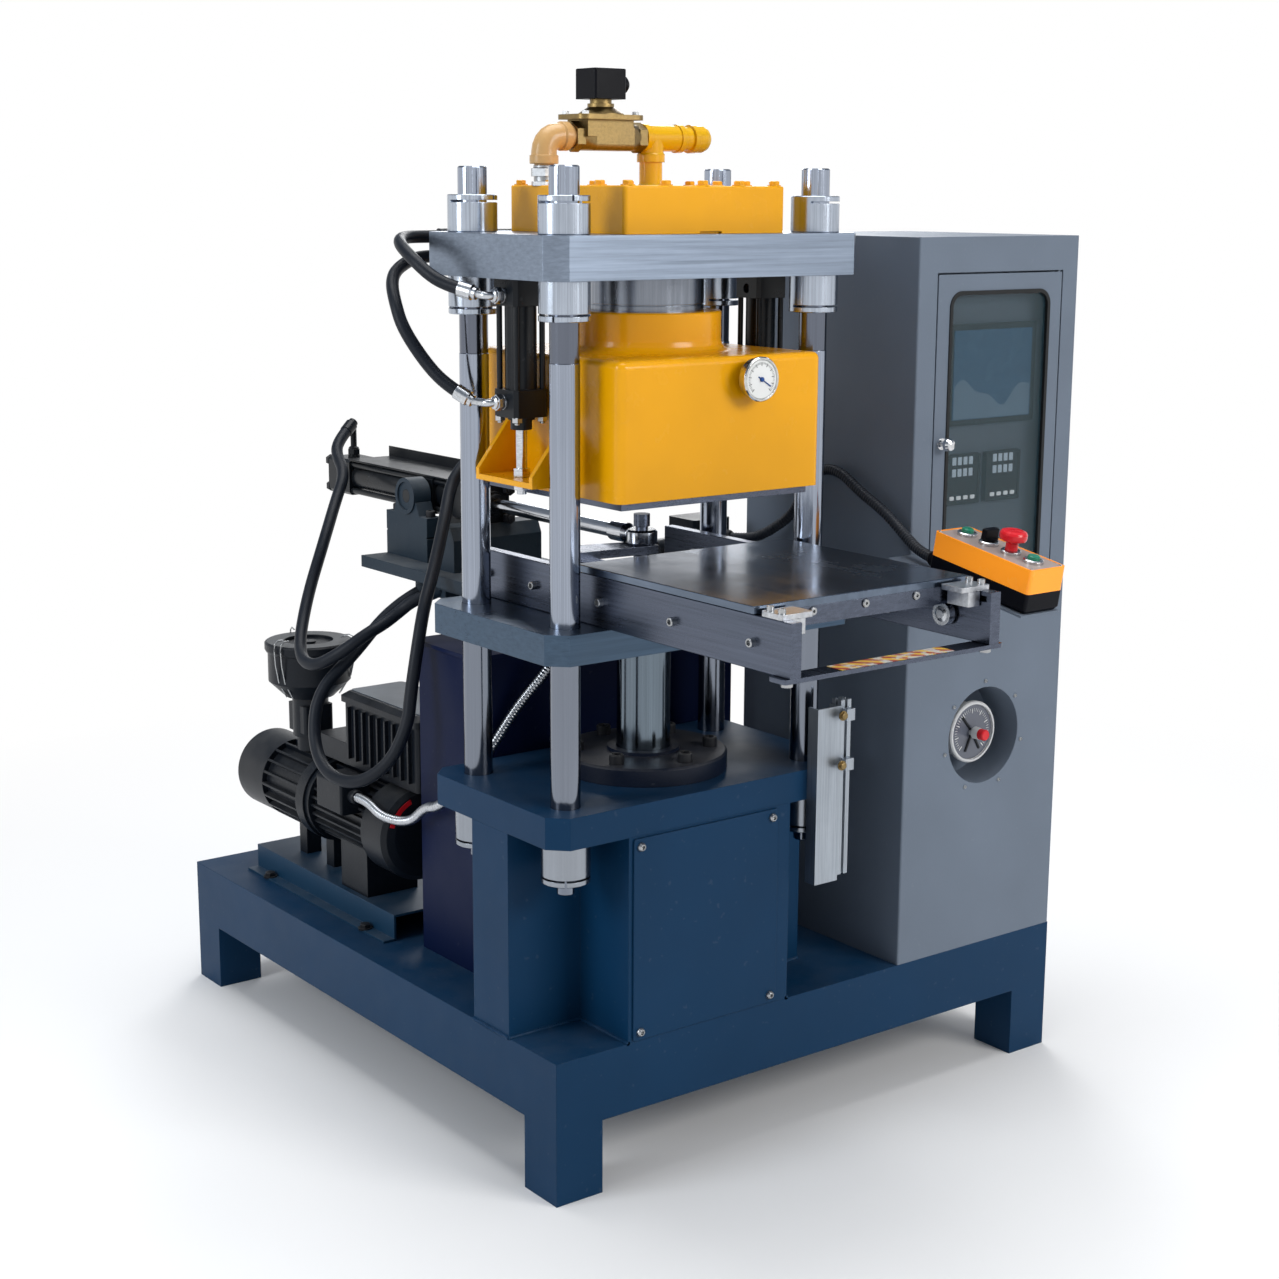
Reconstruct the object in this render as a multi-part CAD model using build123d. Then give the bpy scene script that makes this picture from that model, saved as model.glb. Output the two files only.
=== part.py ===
"""Vacuum vulcanizing machine: a four-column press with a drop-down vacuum hood, a slide-out
heated table, a control cabinet and a vacuum pump set, all standing on one welded base.

Working frame: x to the right along the front, y to the back, z up, origin at the base's
front left corner on the floor. Every solid is moved to the middle of the base at export.
"""
from build123d import *
from math import cos, radians, tan
import os

os.makedirs("parts", exist_ok=True)

# Fits and gaps
SEAT = 0.3           # pieces that bear on each other but are not one
SLIDE = 0.5          # running gap round guides, rods and the ram
MOVE_GAP = 5.0       # room kept between pieces that move past each other
DOOR_GAP = 2.5       # line round the flush cabinet door

# Base frame
PRESS_GAP = 106.0    # from the press plates to the cabinet
REAR_BAY = 806.0     # deck behind the press plates
DECK_TOP = 215.0
APRON_H = 104.0
BASE_WALL = 8.0
LEG = 80.0

# Press frame
PLATE_W = 548.0
PLATE_D = 328.0
PLATE_CHAMFER = 25.0
TOWER_H = 306.0
LOWER_T = 46.0
STROKE_ROOM = 212.0  # from the lower plate up to the platen
PLATEN_T = 43.0
DAYLIGHT = 467.5     # from the platen up to the top plate
TOP_T = 59.0
COL_D = 42.0
COL_INSET_X = 54.0
COL_INSET_Y = 53.0
COL_STUB = 89.5      # column above the top plate
COL_THREAD_L = 109.5
COL_STUD_D = 26.0
COL_STUD_L = 25.0
NUT_WALL = 14.0
UPPER_NUT_H = 51.0
UNDER_NUT_H = 54.0
LOWER_NUT_H = 62.0
NUT_SLOT = 3.0
NUT_SLOT_DOWN = 9.0  # from a nut's free end to its cross slot
TOWER_CLEAR_X = 36.0
TOWER_CLEAR_Y = 30.0
TOWER_WALL = 12.0
COVER_T = 3.0
COVER_LAP = 15.0     # cover beyond the opening behind it

# Ram
RAM_D = 80.0
RAM_FLANGE_D = 250.0
RAM_FLANGE_H = 27.0
RAM_BODY_D = 150.0
RAM_BODY_L = 267.0
RAM_RING_D = 98.0
RAM_RING_H = 15.0

# Box and pipework on the top plate
TOPBOX_W = 280.0
TOPBOX_D = 274.0
TOPBOX_H = 64.0
PIPE_D = 33.5
PIPE_BACK = 71.0     # pipework behind the middle of the press
PIPE_RISE = 67.5     # pipework above the box
RISER_X = 62.0       # riser right of the middle of the press
FITTING_BAND = 3.6   # band of a malleable fitting, beyond the pipe's radius
VALVE_L = 124.0
VALVE_W = 62.0
VALVE_MID = -19.0    # valve left of the middle of the press
COIL_W = 56.0
COIL_H = 42.0
ELBOW_REACH = 45.0

# Upper heating plate and hood
BARREL_D = 166.0
BARREL_L = 264.5
UPPER_HEAT_T = 42.0
HEAT_CLEAR = 8.0
HOOD_CLEAR_X = 20.0  # hood to columns
HOOD_D = 358.0
HOOD_H = 190.0
HOOD_RISE = 11.0     # hood rim above the upper heating plate's face
HOOD_WALL = 6.0
HOOD_R = 10.0
COLLAR_D = 216.0
COLLAR_H = 56.0
COLLAR_R = 16.0
GAUGE_D = 62.0
GAUGE_RIGHT = 44.0   # hood gauge right of the middle
GAUGE_DOWN = 31.0

# Lift cylinders of the hood
LIFT_INSET = 59.0
LIFT_CAP = 56.0
LIFT_TUBE_D = 44.0
LIFT_ROD_D = 16.0
LIFT_L = 189.5
LIFT_CAP_H = 38.0
LIFT_NOSE_H = 18.0
BRACKET_T = 8.0
BRACKET_UP = 14.0    # bracket floor above the hood rim
BRACKET_H = 100.0
BRACKET_LIP = 16.0
BRACKET_W = 140.0

# Rails and rollers on the platen
RAIL_CLEAR = 16.0    # rails to columns
RAIL_H = 70.0
RAIL_T = 18.0
RAIL_LEAD = 64.0     # rails in front of the table when it is out
TIE_T = 6.0
TIE_D = 32.0
ROLLER_D = 32.0
ROLLER_T = 10.0
ROLLER_PITCH = 106.0

# Table
TABLE_CLEAR = 11.0   # table to columns
TABLE_D = 377.0
TABLE_T = 10.0
HEAT_T = 24.0
TABLE_TRAVEL = 282.0
TABLE_RISE = 2.0     # table above the rails
HEATER_D = 12.0
LINK_T = 12.0

# Table cylinder
ROD_D = 22.0
ROD_RISE = 20.0      # rod above the rails
PIN_D = 18.0
PIN_BACK = 100.0     # pin behind the table
EYE_D = 46.0
CYL_LEAD = 113.0     # cylinder behind the pin when the table is in
CYL_REST_L = 202.0   # cylinder beyond the table's travel
CYL_TUBE_D = 52.0
CYL_CAP = 62.0
CAP_L = 74.0
TRUNNION_BACK = 159.0
TRUNNION_D = 22.0
HOUSING_D = 60.0
BLOCK_L = 128.0
BLOCK_T = 30.0
ARM_HALF = 116.0
RIB_HALF = 92.0
ARM_T = 19.0
ARM_RISE = 11.0      # arm above the platen's underside

# Cabinet
CAB_W = 346.0
CAB_D = 386.0
CAB_H = 1126.0
DOOR_W = 268.0
DOOR_H = 516.0
DOOR_IN = 41.0       # door from the cabinet's left edge
DOOR_DOWN = 55.0
DOOR_T = 3.0
WINDOW_MARGIN = 27.0
WINDOW_R = 22.0
RECESS_D = 26.0
HINGE_PIN_D = 5.0
HINGE_REACH = 7.0    # pin beyond the door, into the cabinet
HINGE_IN = 3.5
HINGE_Y = 4.0
KNOB_D = 20.0
POCKET_D = 156.0
POCKET_DEPTH = 70.0
POCKET_IN = 174.0
POCKET_UP = 348.0
DIAL_D = 100.0

# Control box on its tilted shelf
BOX_L = 193.0
BOX_W = 71.0
BOX_TOP_H = 36.0
BOX_LOWER_H = 30.0
BOX_OUT = 40.0       # box left of the cabinet
BOX_FRONT = 79.0     # box in front of the cabinet
BOX_REAR_Z = 857.0
BOX_TILT = 9.6
BUTTON_STEP = 44.0
BUTTON_D = 30.0
BUTTON_BORE = 23.0
CAP_D = 18.0
STOP_D = 40.0
SHELF_T = 3.0

# Position sensor rail
SENSOR_W = 45.0
SENSOR_D = 22.0
SENSOR_L = 270.0
SENSOR_IN = 93.0     # from the plates' right edge
SENSOR_DROP = 129.0  # below the lower plate
SLOT_PROFILE = 20.0

# Pump set and oil tank
TANK_GAP = 26.0
TANK_D = 161.0
TANK_W = 500.0
TANK_H = 506.0
TANK_LEFT = 100.0
LID_T = 6.0
LID_OUT = 8.0
PUMP_X = 132.0
PUMP_UP = 126.0      # pump axis above its mount
MOUNT_H = 44.0
MOUNT_GAP = 48.0     # mount behind the tank
MOUNT_L = 475.0
MOUNT_W = 132.0
MOUNT_T = 4.0
MOUNT_FLANGE = 24.0
PUMP_D = 116.0
PUMP_FINS = 20
MOTOR_D = 132.0
MOTOR_FINS = 28
FIN_H = 12.0
FIN_T = 4.0
FAN_D = 154.0
FILTER_D = 151.0

# Routes of the hoses and conduits that hang free
HOSE_D = 18.0
CYL_HOSE_D = 20.0
CONDUIT_D = 17.0
UPPER_HOSE = [(60, 374, 1340), (40, 375, 1340), (4, 369, 1340), (-23, 345, 1337), (-40, 312, 1329),
              (-43, 276, 1312), (-33, 244, 1289), (-20, 221, 1278), (-12, 206, 1274)]
LOWER_HOSE = [(60, 382, 1312), (35, 383, 1312), (11, 378, 1306), (-20, 363, 1293), (-41, 338, 1277),
              (-53, 309, 1252), (-54, 288, 1218), (-35, 263, 1173), (-21, 236, 1145), (-10, 220, 1134)]
REAR_HOSE = [(252, 1000, 990), (230, 990, 974), (215, 970, 956), (206, 925, 927), (175, 902, 888),
             (127, 859, 829), (75, 832, 735), (23, 769, 661), (15, 705, 650), (42, 655, 682),
             (76, 639, 709), (109, 636, 723), (136, 632, 741), (152, 618, 759), (176, 604, 770)]
FRONT_HOSE = [(256, 600, 988), (247, 599, 979), (229, 597, 965), (209, 591, 941), (180, 561, 898),
              (136, 525, 825), (98, 494, 776), (70, 471, 712), (56, 468, 647), (46, 461, 602),
              (21, 475, 540), (-8, 527, 499), (-23, 598, 502), (-15, 655, 545), (9, 678, 618),
              (70, 671, 669), (115, 659, 723), (143, 650, 747), (163, 642, 761), (176, 636, 769)]
BOX_CONDUIT = [(638, -62, 876), (638, -35, 881), (643, 1, 900), (635, 40, 934), (636, 90, 954),
               (635, 151, 990), (636, 218, 970), (645, 250, 907), (623, 286, 873), (608, 320, 856),
               (594, 352, 856)]
TANK_CONDUIT = [(62, 650, 438), (62, 617, 440), (54, 560, 428), (70, 500, 430), (73, 458, 467),
                (59, 398, 482), (76, 341, 529), (129, 343, 588), (157, 328, 640), (201, 299, 703),
                (253, 334, 739), (275, 370, 745), (285, 400, 748)]

lower_z = DECK_TOP + TOWER_H
lower_top = lower_z + LOWER_T
platen_z = lower_top + STROKE_ROOM
platen_top = platen_z + PLATEN_T
top_z = platen_top + DAYLIGHT
top_top = top_z + TOP_T
rail_top = platen_top + RAIL_H
table_z = rail_top + TABLE_RISE
rod_z_axis = rail_top + ROD_RISE
base_w = PLATE_W + PRESS_GAP + CAB_W
base_d = PLATE_D + REAR_BAY
plate_cx = PLATE_W / 2
plate_cy = PLATE_D / 2
col_x = (COL_INSET_X, PLATE_W - COL_INSET_X)
col_y = (COL_INSET_Y, PLATE_D - COL_INSET_Y)
col_places = [(x, y) for x in col_x for y in col_y]
col_bore = COL_D + 2 * SEAT
nut_d = COL_D + 2 * NUT_WALL
inner_w = PLATE_W - 2 * COL_INSET_X - COL_D      # clear width between the columns


def block(x0, x1, y0, y1, z0, z1):
    """Axis-parallel block between two corners."""
    return Pos((x0 + x1) / 2, (y0 + y1) / 2, (z0 + z1) / 2) * Box(x1 - x0, y1 - y0, z1 - z0)


def rod_z(x, y, d, z0, z1):
    return Pos(x, y, (z0 + z1) / 2) * Cylinder(d / 2, z1 - z0)


def rod_y(x, z, d, y0, y1):
    return Pos(x, (y0 + y1) / 2, z) * Rot(90, 0, 0) * Cylinder(d / 2, y1 - y0)


def rod_x(y, z, d, x0, x1):
    return Pos((x0 + x1) / 2, y, z) * Rot(0, 90, 0) * Cylinder(d / 2, x1 - x0)


def turned(*stations):
    """Solid of revolution about local z through (height, radius) stations, closed on the axis."""
    outline = [(0, stations[0][0])] + [(r, h) for h, r in stations] + [(0, stations[-1][0])]
    face = make_face(Plane.XZ * Polyline(outline, close=True))
    return revolve(face, Axis.Z)


along_x = Rot(0, 90, 0)
along_y = Rot(-90, 0, 0)
toward_front = Rot(90, 0, 0)


def side_profile(points, x0, x1):
    """Outline given as (y, z) points, carried from x0 to x1."""
    face = make_face(Plane.YZ * Polyline(points, close=True))
    return Pos(x0, 0, 0) * extrude(face, x1 - x0, dir=(1, 0, 0))


def hose_end(end, before, length):
    """Crimped sleeve that takes over where a hose stops and runs on in the same direction."""
    way = (Vector(*end) - Vector(*before)).normalized()
    sleeve = turned((0, 11.5), (length - 4, 11.5), (length - 2, 9), (length, 9))
    return Plane(Vector(*end), z_dir=way) * sleeve


def bent_tail(port, out, end, before):
    """Nut in a port, a bent steel tail and the crimped sleeve that a hose ends in."""
    end = Vector(*end)
    back = (end - Vector(*before)).normalized()
    path = FilletPolyline(port + out * 12, port + out * 26, end + back * 26, radius=10)
    tail = sweep(Plane(path @ 0, z_dir=path % 0) * Circle(5.5), path=path)
    sleeve = Plane(end, z_dir=back) * turned((0, 11), (20, 11), (22, 8.5), (27, 8.5), (28, 6.5))
    nut_end = turned((SEAT, 10.5), (4, 10.5), (4, 9), (17, 9), (19, 6))
    nut_end += Pos(0, 0, 5) * extrude(RegularPolygon(11.5, 6), 9)
    return tail + sleeve + Plane(port, z_dir=out) * nut_end


def gland(end, before, length):
    """Nut and threaded stub that take over where a conduit stops."""
    way = (Vector(*end) - Vector(*before)).normalized()
    return Plane(Vector(*end), z_dir=way) * turned((0, 10.5), (3, 12), (11, 12), (11, 9.5), (length, 9.5))


def group(places, make):
    return Compound([make(*place) for place in places])


def press_plate(z0, thickness, bores):
    """One of the press plates: chamfered rectangle with bored holes (x, y, diameter)."""
    outline = chamfer(Rectangle(PLATE_W, PLATE_D).vertices(), PLATE_CHAMFER)
    plate = Pos(plate_cx, plate_cy, z0) * extrude(outline, thickness)
    for x, y, d in bores:
        plate -= rod_z(x, y, d, z0 - 1, z0 + thickness + 1)
    return plate


# Welded base: deck and apron of plate on four square legs
def base_frame():
    apron_z = DECK_TOP - APRON_H
    w = BASE_WALL
    body = block(0, base_w, 0, base_d, apron_z, DECK_TOP)
    body -= block(w, base_w - w, w, base_d - w, apron_z - 1, DECK_TOP - w)
    for x in (0, base_w - LEG):
        for y in (0, base_d - LEG):
            body += block(x, x + LEG, y, y + LEG, 0, DECK_TOP - w)
    return body


notch_x = COL_INSET_X + nut_d / 2 + TOWER_CLEAR_X
notch_y = COL_INSET_Y + nut_d / 2 + TOWER_CLEAR_Y


def cross_outline(inset):
    """Plan of the tower: the plate's rectangle less a notch at each corner for the nuts."""
    plan = Rectangle(PLATE_W - 2 * inset, PLATE_D - 2 * inset)
    for sx in (-1, 1):
        for sy in (-1, 1):
            corner = Pos(sx * (PLATE_W - notch_x) / 2, sy * (PLATE_D - notch_y) / 2)
            plan -= corner * Rectangle(notch_x + 2 * inset, notch_y + 2 * inset)
    return plan


cover_x = (notch_x + 7, PLATE_W - notch_x - 25)
cover_z = (DECK_TOP + 3, lower_z - 3)


def press_tower():
    """Cross-shaped welded box under the lower plate, with the hole that the cover closes."""
    outer = extrude(cross_outline(0), TOWER_H)
    inner = extrude(cross_outline(TOWER_WALL), TOWER_H)
    body = Pos(plate_cx, plate_cy, DECK_TOP) * (outer - inner)
    lap = COVER_LAP
    return body - block(cover_x[0] + lap, cover_x[1] - lap, -1, TOWER_WALL + 1,
                        cover_z[0] + lap, cover_z[1] - lap)


def tower_cover():
    sheet = block(cover_x[0], cover_x[1], -COVER_T, 0, *cover_z)
    return fillet(sheet.edges().filter_by(Axis.Y), 4)


def lower_plate():
    bores = [(x, y, col_bore) for x, y in col_places]
    bores.append((plate_cx, plate_cy, RAM_BODY_D + 2 * SEAT))
    return press_plate(lower_z, LOWER_T, bores)


def top_plate():
    return press_plate(top_z, TOP_T, [(x, y, col_bore) for x, y in col_places])


# Columns with their clamp nuts
KEYWAY_W, KEYWAY_DEPTH = 9.0, 3.0
THREAD_RELIEF = 0.6


def column(x, y):
    """Column with its lower stud, ground middle, relieved thread and four keyways on top."""
    stud_top = lower_z - LOWER_NUT_H + 6
    thread_z = top_z - COL_THREAD_L
    top = top_top + COL_STUB
    r, relief = COL_D / 2, THREAD_RELIEF
    body = Pos(x, y, 0) * turned(
        (stud_top - COL_STUD_L, COL_STUD_D / 2 - 2), (stud_top - COL_STUD_L + 2, COL_STUD_D / 2),
        (stud_top, COL_STUD_D / 2), (stud_top, r), (thread_z, r), (thread_z + relief, r - relief),
        (top - 2, r - relief), (top, r - relief - 2))
    key_z = top_top + UPPER_NUT_H + 1
    for turn in (45, 135, 225, 315):
        body -= Pos(x, y, 0) * Rot(0, 0, turn) * block(
            r - relief - KEYWAY_DEPTH, r + 1, -KEYWAY_W / 2, KEYWAY_W / 2, key_z, top + 1)
    return body


def nut(x, y, z0, height, free_up, turn):
    """Round clamp nut: a cross slot near its free end, closed by a screw beside the slit."""
    r = nut_d / 2
    ring = turned((0, r - 1), (1, r), (height - 1, r), (height, r - 1))
    ring -= rod_z(0, 0, col_bore, -1, height + 1)
    slot_z = height - NUT_SLOT_DOWN if free_up else NUT_SLOT_DOWN
    half = NUT_SLOT / 2
    ring -= block(-r - 1, r * 0.45, -r - 1, r + 1, slot_z - half, slot_z + half)
    slit = (slot_z, height + 1) if free_up else (-1, slot_z)
    ring -= block(-r - 1, 0, -half, half, *slit)
    return Pos(x, y, z0) * Rot(0, 0, turn) * ring


def column_nuts():
    """Nut above and below the top plate and one under the lower plate on each column."""
    rows = ((top_top, UPPER_NUT_H, True, 75), (top_z - UNDER_NUT_H, UNDER_NUT_H, False, 30),
            (lower_z - LOWER_NUT_H, LOWER_NUT_H, False, 55))
    return Compound([nut(x, y, z, h, up, turn + 40 * i)
                     for z, h, up, turn in rows for i, (x, y) in enumerate(col_places)])


# Ram and its cylinder, let into the lower plate
def ram_cylinder():
    r, body_r = RAM_FLANGE_D / 2, RAM_BODY_D / 2
    z0 = lower_top - RAM_BODY_L
    top = lower_top + RAM_FLANGE_H
    gland_r, gland_h = RAM_D / 2 + 14, 5
    body = Pos(plate_cx, plate_cy, 0) * turned(
        (z0, body_r - 5), (z0 + 5, body_r), (lower_top, body_r), (lower_top, r),
        (top - 3, r), (top, r - 3), (top, gland_r), (top + gland_h, gland_r))
    return body - rod_z(plate_cx, plate_cy, RAM_D + 2 * SLIDE, z0 + 25, top + gland_h + 1)


def ram():
    """Ground ram with the split ring that ties it to the platen."""
    r, ring_r = RAM_D / 2, RAM_RING_D / 2
    ring_z = platen_z - RAM_RING_H
    neck = 4
    body = turned((lower_z, r), (ring_z - neck - 4, r), (ring_z - neck, r - 4), (ring_z, r - 4),
                  (ring_z, ring_r - 1), (ring_z + 1, ring_r), (platen_z, ring_r))
    ears = block(-ring_r - 7, ring_r + 7, -9, 9, ring_z + 2, platen_z - 2)
    split = block(-ring_r - 8, ring_r + 8, -1, 1, ring_z - 1, platen_z - 3)
    core = rod_z(0, 0, RAM_D - 8, ring_z - neck, platen_z)
    return Pos(plate_cx, plate_cy, 0) * (body + ears - split + core)


# Yellow box and pipework on the top plate
topbox_top = top_top + TOPBOX_H
pipe_y = plate_cy + PIPE_BACK
pipe_z = topbox_top + PIPE_RISE
valve_x = (plate_cx + VALVE_MID - VALVE_L / 2, plate_cx + VALVE_MID + VALVE_L / 2)
stem_x = plate_cx - 28
band_r = PIPE_D / 2 + FITTING_BAND
SLOT_X = (262.0, 300.0)


def top_box():
    """Welded box with rounded edges and the slot at the foot of its front."""
    body = Pos(plate_cx, plate_cy, top_top + TOPBOX_H / 2) * Box(TOPBOX_W, TOPBOX_D, TOPBOX_H)
    body = fillet(body.edges().filter_by(Axis.Z), 6)
    body = fillet(body.faces().sort_by(Axis.Z)[-1].edges(), 2.5)
    front = plate_cy - TOPBOX_D / 2
    return body - block(SLOT_X[0], SLOT_X[1], front - 1, front + 5, top_top - 1, top_top + 3)


def vacuum_pipe():
    """Banded tee with its riser, a short nipple and the domed end cap."""
    x = plate_cx + RISER_X
    pipe_r, tee_r, dome_r = PIPE_D / 2, PIPE_D / 2 + 1.8, PIPE_D / 2 + 2.8
    run = x - valve_x[1]
    tee_end, cap = 2 * run + 34, 2 * run + 50
    branch = rod_z(x, pipe_y, 2 * tee_r, pipe_z - 34, pipe_z)
    body = Pos(valve_x[1], pipe_y, pipe_z) * along_x * turned(
        (0, band_r), (9, band_r), (9, tee_r), (tee_end - 9, tee_r), (tee_end - 9, band_r),
        (tee_end, band_r), (tee_end, pipe_r), (cap, pipe_r), (cap, band_r), (cap + 9, band_r),
        (cap + 9, dome_r), (cap + 22, dome_r), (cap + 29, dome_r * 0.86), (cap + 34, dome_r * 0.62),
        (cap + 37, dome_r * 0.3))
    riser = Pos(x, pipe_y, topbox_top) * turned(
        (0, pipe_r + 4), (3, pipe_r), (PIPE_RISE - 34, pipe_r), (PIPE_RISE - 34, band_r),
        (PIPE_RISE - 23, band_r), (PIPE_RISE - 21, tee_r))
    return body + branch + riser


def vacuum_valve():
    """Brass diaphragm valve: hexagon ends, cast body, four-eared bonnet and stem."""
    length = valve_x[1] - valve_x[0]
    middle = (valve_x[0] + valve_x[1]) / 2
    hexagon = extrude(RegularPolygon(21.5, 6), 14)
    body = Pos(valve_x[0], pipe_y, pipe_z) * along_x * hexagon
    body += Pos(valve_x[1] - 14, pipe_y, pipe_z) * along_x * hexagon
    core = length / 2 - 13
    cast = loft([Pos(0, 0, -core) * Circle(19), Pos(0, 0, -core + 16) * RectangleRounded(38, 50, 9),
                 Pos(0, 0, core - 16) * RectangleRounded(38, 50, 9), Pos(0, 0, core) * Circle(19)],
                ruled=True)
    body += Pos(middle, pipe_y, pipe_z) * along_x * cast
    body += block(stem_x - 40, stem_x + 40, pipe_y - 25, pipe_y + 25, pipe_z, pipe_z + 24)
    ears = extrude(RectangleRounded(112, VALVE_W + 8, 14), 7)
    body += Pos(stem_x, pipe_y, pipe_z + 23.5) * ears
    bonnet = turned((-1, 33), (2, 33), (11, 19), (16, 19), (16, 15.5), (COIL_H - 20, 15.5))
    return body + Pos(stem_x, pipe_y, pipe_z + 30) * bonnet


def valve_coil():
    """Moulded solenoid coil with its top nut and cable gland."""
    z0 = pipe_z + 30 + COIL_H - 20
    body = Pos(stem_x, pipe_y, z0 + COIL_H / 2) * Box(COIL_W, COIL_W - 6, COIL_H)
    body = fillet(body.edges().filter_by(Axis.Z), 5)
    body = fillet(body.faces().sort_by(Axis.Z)[-1].edges(), 2)
    gland = turned((0, 15), (6, 15), (6, 12), (14, 12), (18, 8))
    return body + Pos(stem_x + COIL_W / 2 - 1, pipe_y, z0 + COIL_H / 2) * along_x * gland


def pipe_elbow():
    """Banded elbow from the valve down to a plain steel union on the box."""
    pipe_r = PIPE_D / 2 + 1.2
    drop = 22.0
    x = valve_x[0] - ELBOW_REACH
    across = Pos(valve_x[0], pipe_y, pipe_z) * Rot(0, -90, 0) * turned(
        (0, PIPE_D / 2), (5, PIPE_D / 2), (5, band_r), (15, band_r), (17, pipe_r),
        (ELBOW_REACH - drop, pipe_r))
    ring = Plane.YZ * Pos(pipe_y, pipe_z) * Circle(pipe_r)
    bend = revolve(ring, Axis((0, 0, pipe_z - drop), (0, 1, 0)), 90)
    down = Pos(x, pipe_y, pipe_z - drop) * Rot(180, 0, 0) * turned(
        (0, pipe_r), (4, pipe_r), (6, band_r), (16, band_r), (16, 14), (20, 14))
    union_h = PIPE_RISE - drop - 19
    union = Pos(x, pipe_y, topbox_top) * turned(
        (0, 17), (5, 17), (5, 14.5), (union_h - 12, 14.5), (union_h - 12, 17.5), (union_h, 17.5))
    return across + Pos(x + drop, 0, 0) * bend + down + union


# Upper heating plate on its barrel
heat_z = top_z - BARREL_L - UPPER_HEAT_T
hood_z = heat_z + HOOD_RISE
hood_w = inner_w - 2 * HOOD_CLEAR_X
hood_x = (plate_cx - hood_w / 2, plate_cx + hood_w / 2)
hood_y = (plate_cy - HOOD_D / 2, plate_cy + HOOD_D / 2)
hood_top = hood_z + HOOD_H
collar_top = hood_top + COLLAR_H


def upper_barrel():
    """Ground barrel with a bolting flange at its foot and a shallow seal groove."""
    r, foot_z = BARREL_D / 2, heat_z + UPPER_HEAT_T
    groove_z = collar_top + 8
    return Pos(plate_cx, plate_cy, 0) * turned(
        (foot_z, r + 22), (foot_z + 14, r + 22), (foot_z + 14, r), (groove_z, r),
        (groove_z, r - 1.5), (groove_z + 2, r - 1.5), (groove_z + 2, r), (top_z, r))


def upper_heat_plate():
    """Heating plate with a row of heater bores in its left side."""
    half_x = hood_w / 2 - HOOD_WALL - HEAT_CLEAR
    half_y = HOOD_D / 2 - HOOD_WALL - HEAT_CLEAR
    plate = block(plate_cx - half_x, plate_cx + half_x, plate_cy - half_y, plate_cy + half_y,
                  heat_z, heat_z + UPPER_HEAT_T)
    for i in range(-2, 3):
        y = plate_cy + i * half_y * 0.4
        left = plate_cx - half_x
        plate -= rod_x(y, heat_z + UPPER_HEAT_T / 2, HEATER_D, left - 1, left + 40)
    return plate


def hood():
    """Open-bottomed sheet hood with a rounded top and a round collar that slides on the barrel."""
    shell = Pos(plate_cx, plate_cy, hood_z + HOOD_H / 2) * Box(hood_w, HOOD_D, HOOD_H)
    shell = fillet(shell.edges().filter_by(Axis.Z), HOOD_R + 3)
    shell = fillet(shell.faces().sort_by(Axis.Z)[-1].edges(), HOOD_R)
    collar = turned((-1, COLLAR_D / 2 + COLLAR_R), (0, COLLAR_D / 2 + COLLAR_R),
                    *[(COLLAR_R * h, COLLAR_D / 2 + COLLAR_R * r) for h, r in
                      ((0.08, 0.62), (0.27, 0.3), (0.55, 0.1), (1, 0))],
                    (COLLAR_H - 2, COLLAR_D / 2), (COLLAR_H, COLLAR_D / 2 - 2))
    shell += Pos(plate_cx, plate_cy, hood_top) * collar
    w = HOOD_WALL
    shell -= block(hood_x[0] + w, hood_x[1] - w, hood_y[0] + w, hood_y[1] - w, hood_z - 1, hood_top - w)
    return shell - rod_z(plate_cx, plate_cy, BARREL_D + 2 * SLIDE, hood_top - w - 1, collar_top + 1)


def hood_gauge():
    """Round vacuum gauge on a short stem: can, bezel ring and sunk face."""
    r = GAUGE_D / 2
    z = hood_top - GAUGE_DOWN
    stem = turned((0, 11), (5, 11), (5, 7), (18, 7))
    case = turned((18, r - 6), (21, r - 3), (39, r - 3), (39, r), (45, r), (47, r - 2), (47, r - 4),
                  (43.5, r - 4))
    return Pos(plate_cx + GAUGE_RIGHT, hood_y[0], z) * toward_front * (stem + case)


# Lift cylinders beside the hood and the brackets they push on
lift_x = (LIFT_INSET, PLATE_W - LIFT_INSET)
lift_z = top_z - LIFT_L
bracket_z = hood_z + BRACKET_UP


def hood_bracket(side):
    """Shelf and two tapering gussets that carry one lift rod, welded to the hood's side."""
    wall = hood_x[0] if side < 0 else hood_x[1]
    x = lift_x[0] if side < 0 else lift_x[1]
    reach = abs(wall - x) + 30
    y0, y1 = plate_cy - BRACKET_W / 2, plate_cy + BRACKET_W / 2
    ends = sorted((wall, wall + side * reach))
    body = block(*ends, y0, y1, bracket_z, bracket_z + BRACKET_T)
    body -= rod_z(x, plate_cy, LIFT_ROD_D - 2, bracket_z - 1, bracket_z + BRACKET_T + 1)
    gusset = Plane.XZ * Polyline((wall, bracket_z), (wall + side * reach, bracket_z),
                                 (wall + side * reach, bracket_z + BRACKET_LIP),
                                 (wall, bracket_z + BRACKET_H), close=True)
    for y in (y0, y1 - BRACKET_T):
        body += Pos(0, y, 0) * extrude(make_face(gusset), BRACKET_T, dir=(0, 1, 0))
    return body


def hood_brackets():
    return Compound([hood_bracket(-1), hood_bracket(1)])


def lift_rod(x, y):
    """Rod with its shoulder on the bracket floor, a coupling nut above and a nut below."""
    seat = bracket_z + BRACKET_T + SEAT
    r, tail_r = LIFT_ROD_D / 2, LIFT_ROD_D / 2 - 1 - SEAT
    body = turned((bracket_z - 16, tail_r), (seat, tail_r), (seat, r), (lift_z + 60, r))
    body += Pos(0, 0, seat) * extrude(RegularPolygon(13, 6), 12)
    body += Pos(0, 0, bracket_z - SEAT - 9) * extrude(RegularPolygon(13, 6), 9)
    return Pos(x, y, 0) * body


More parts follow.
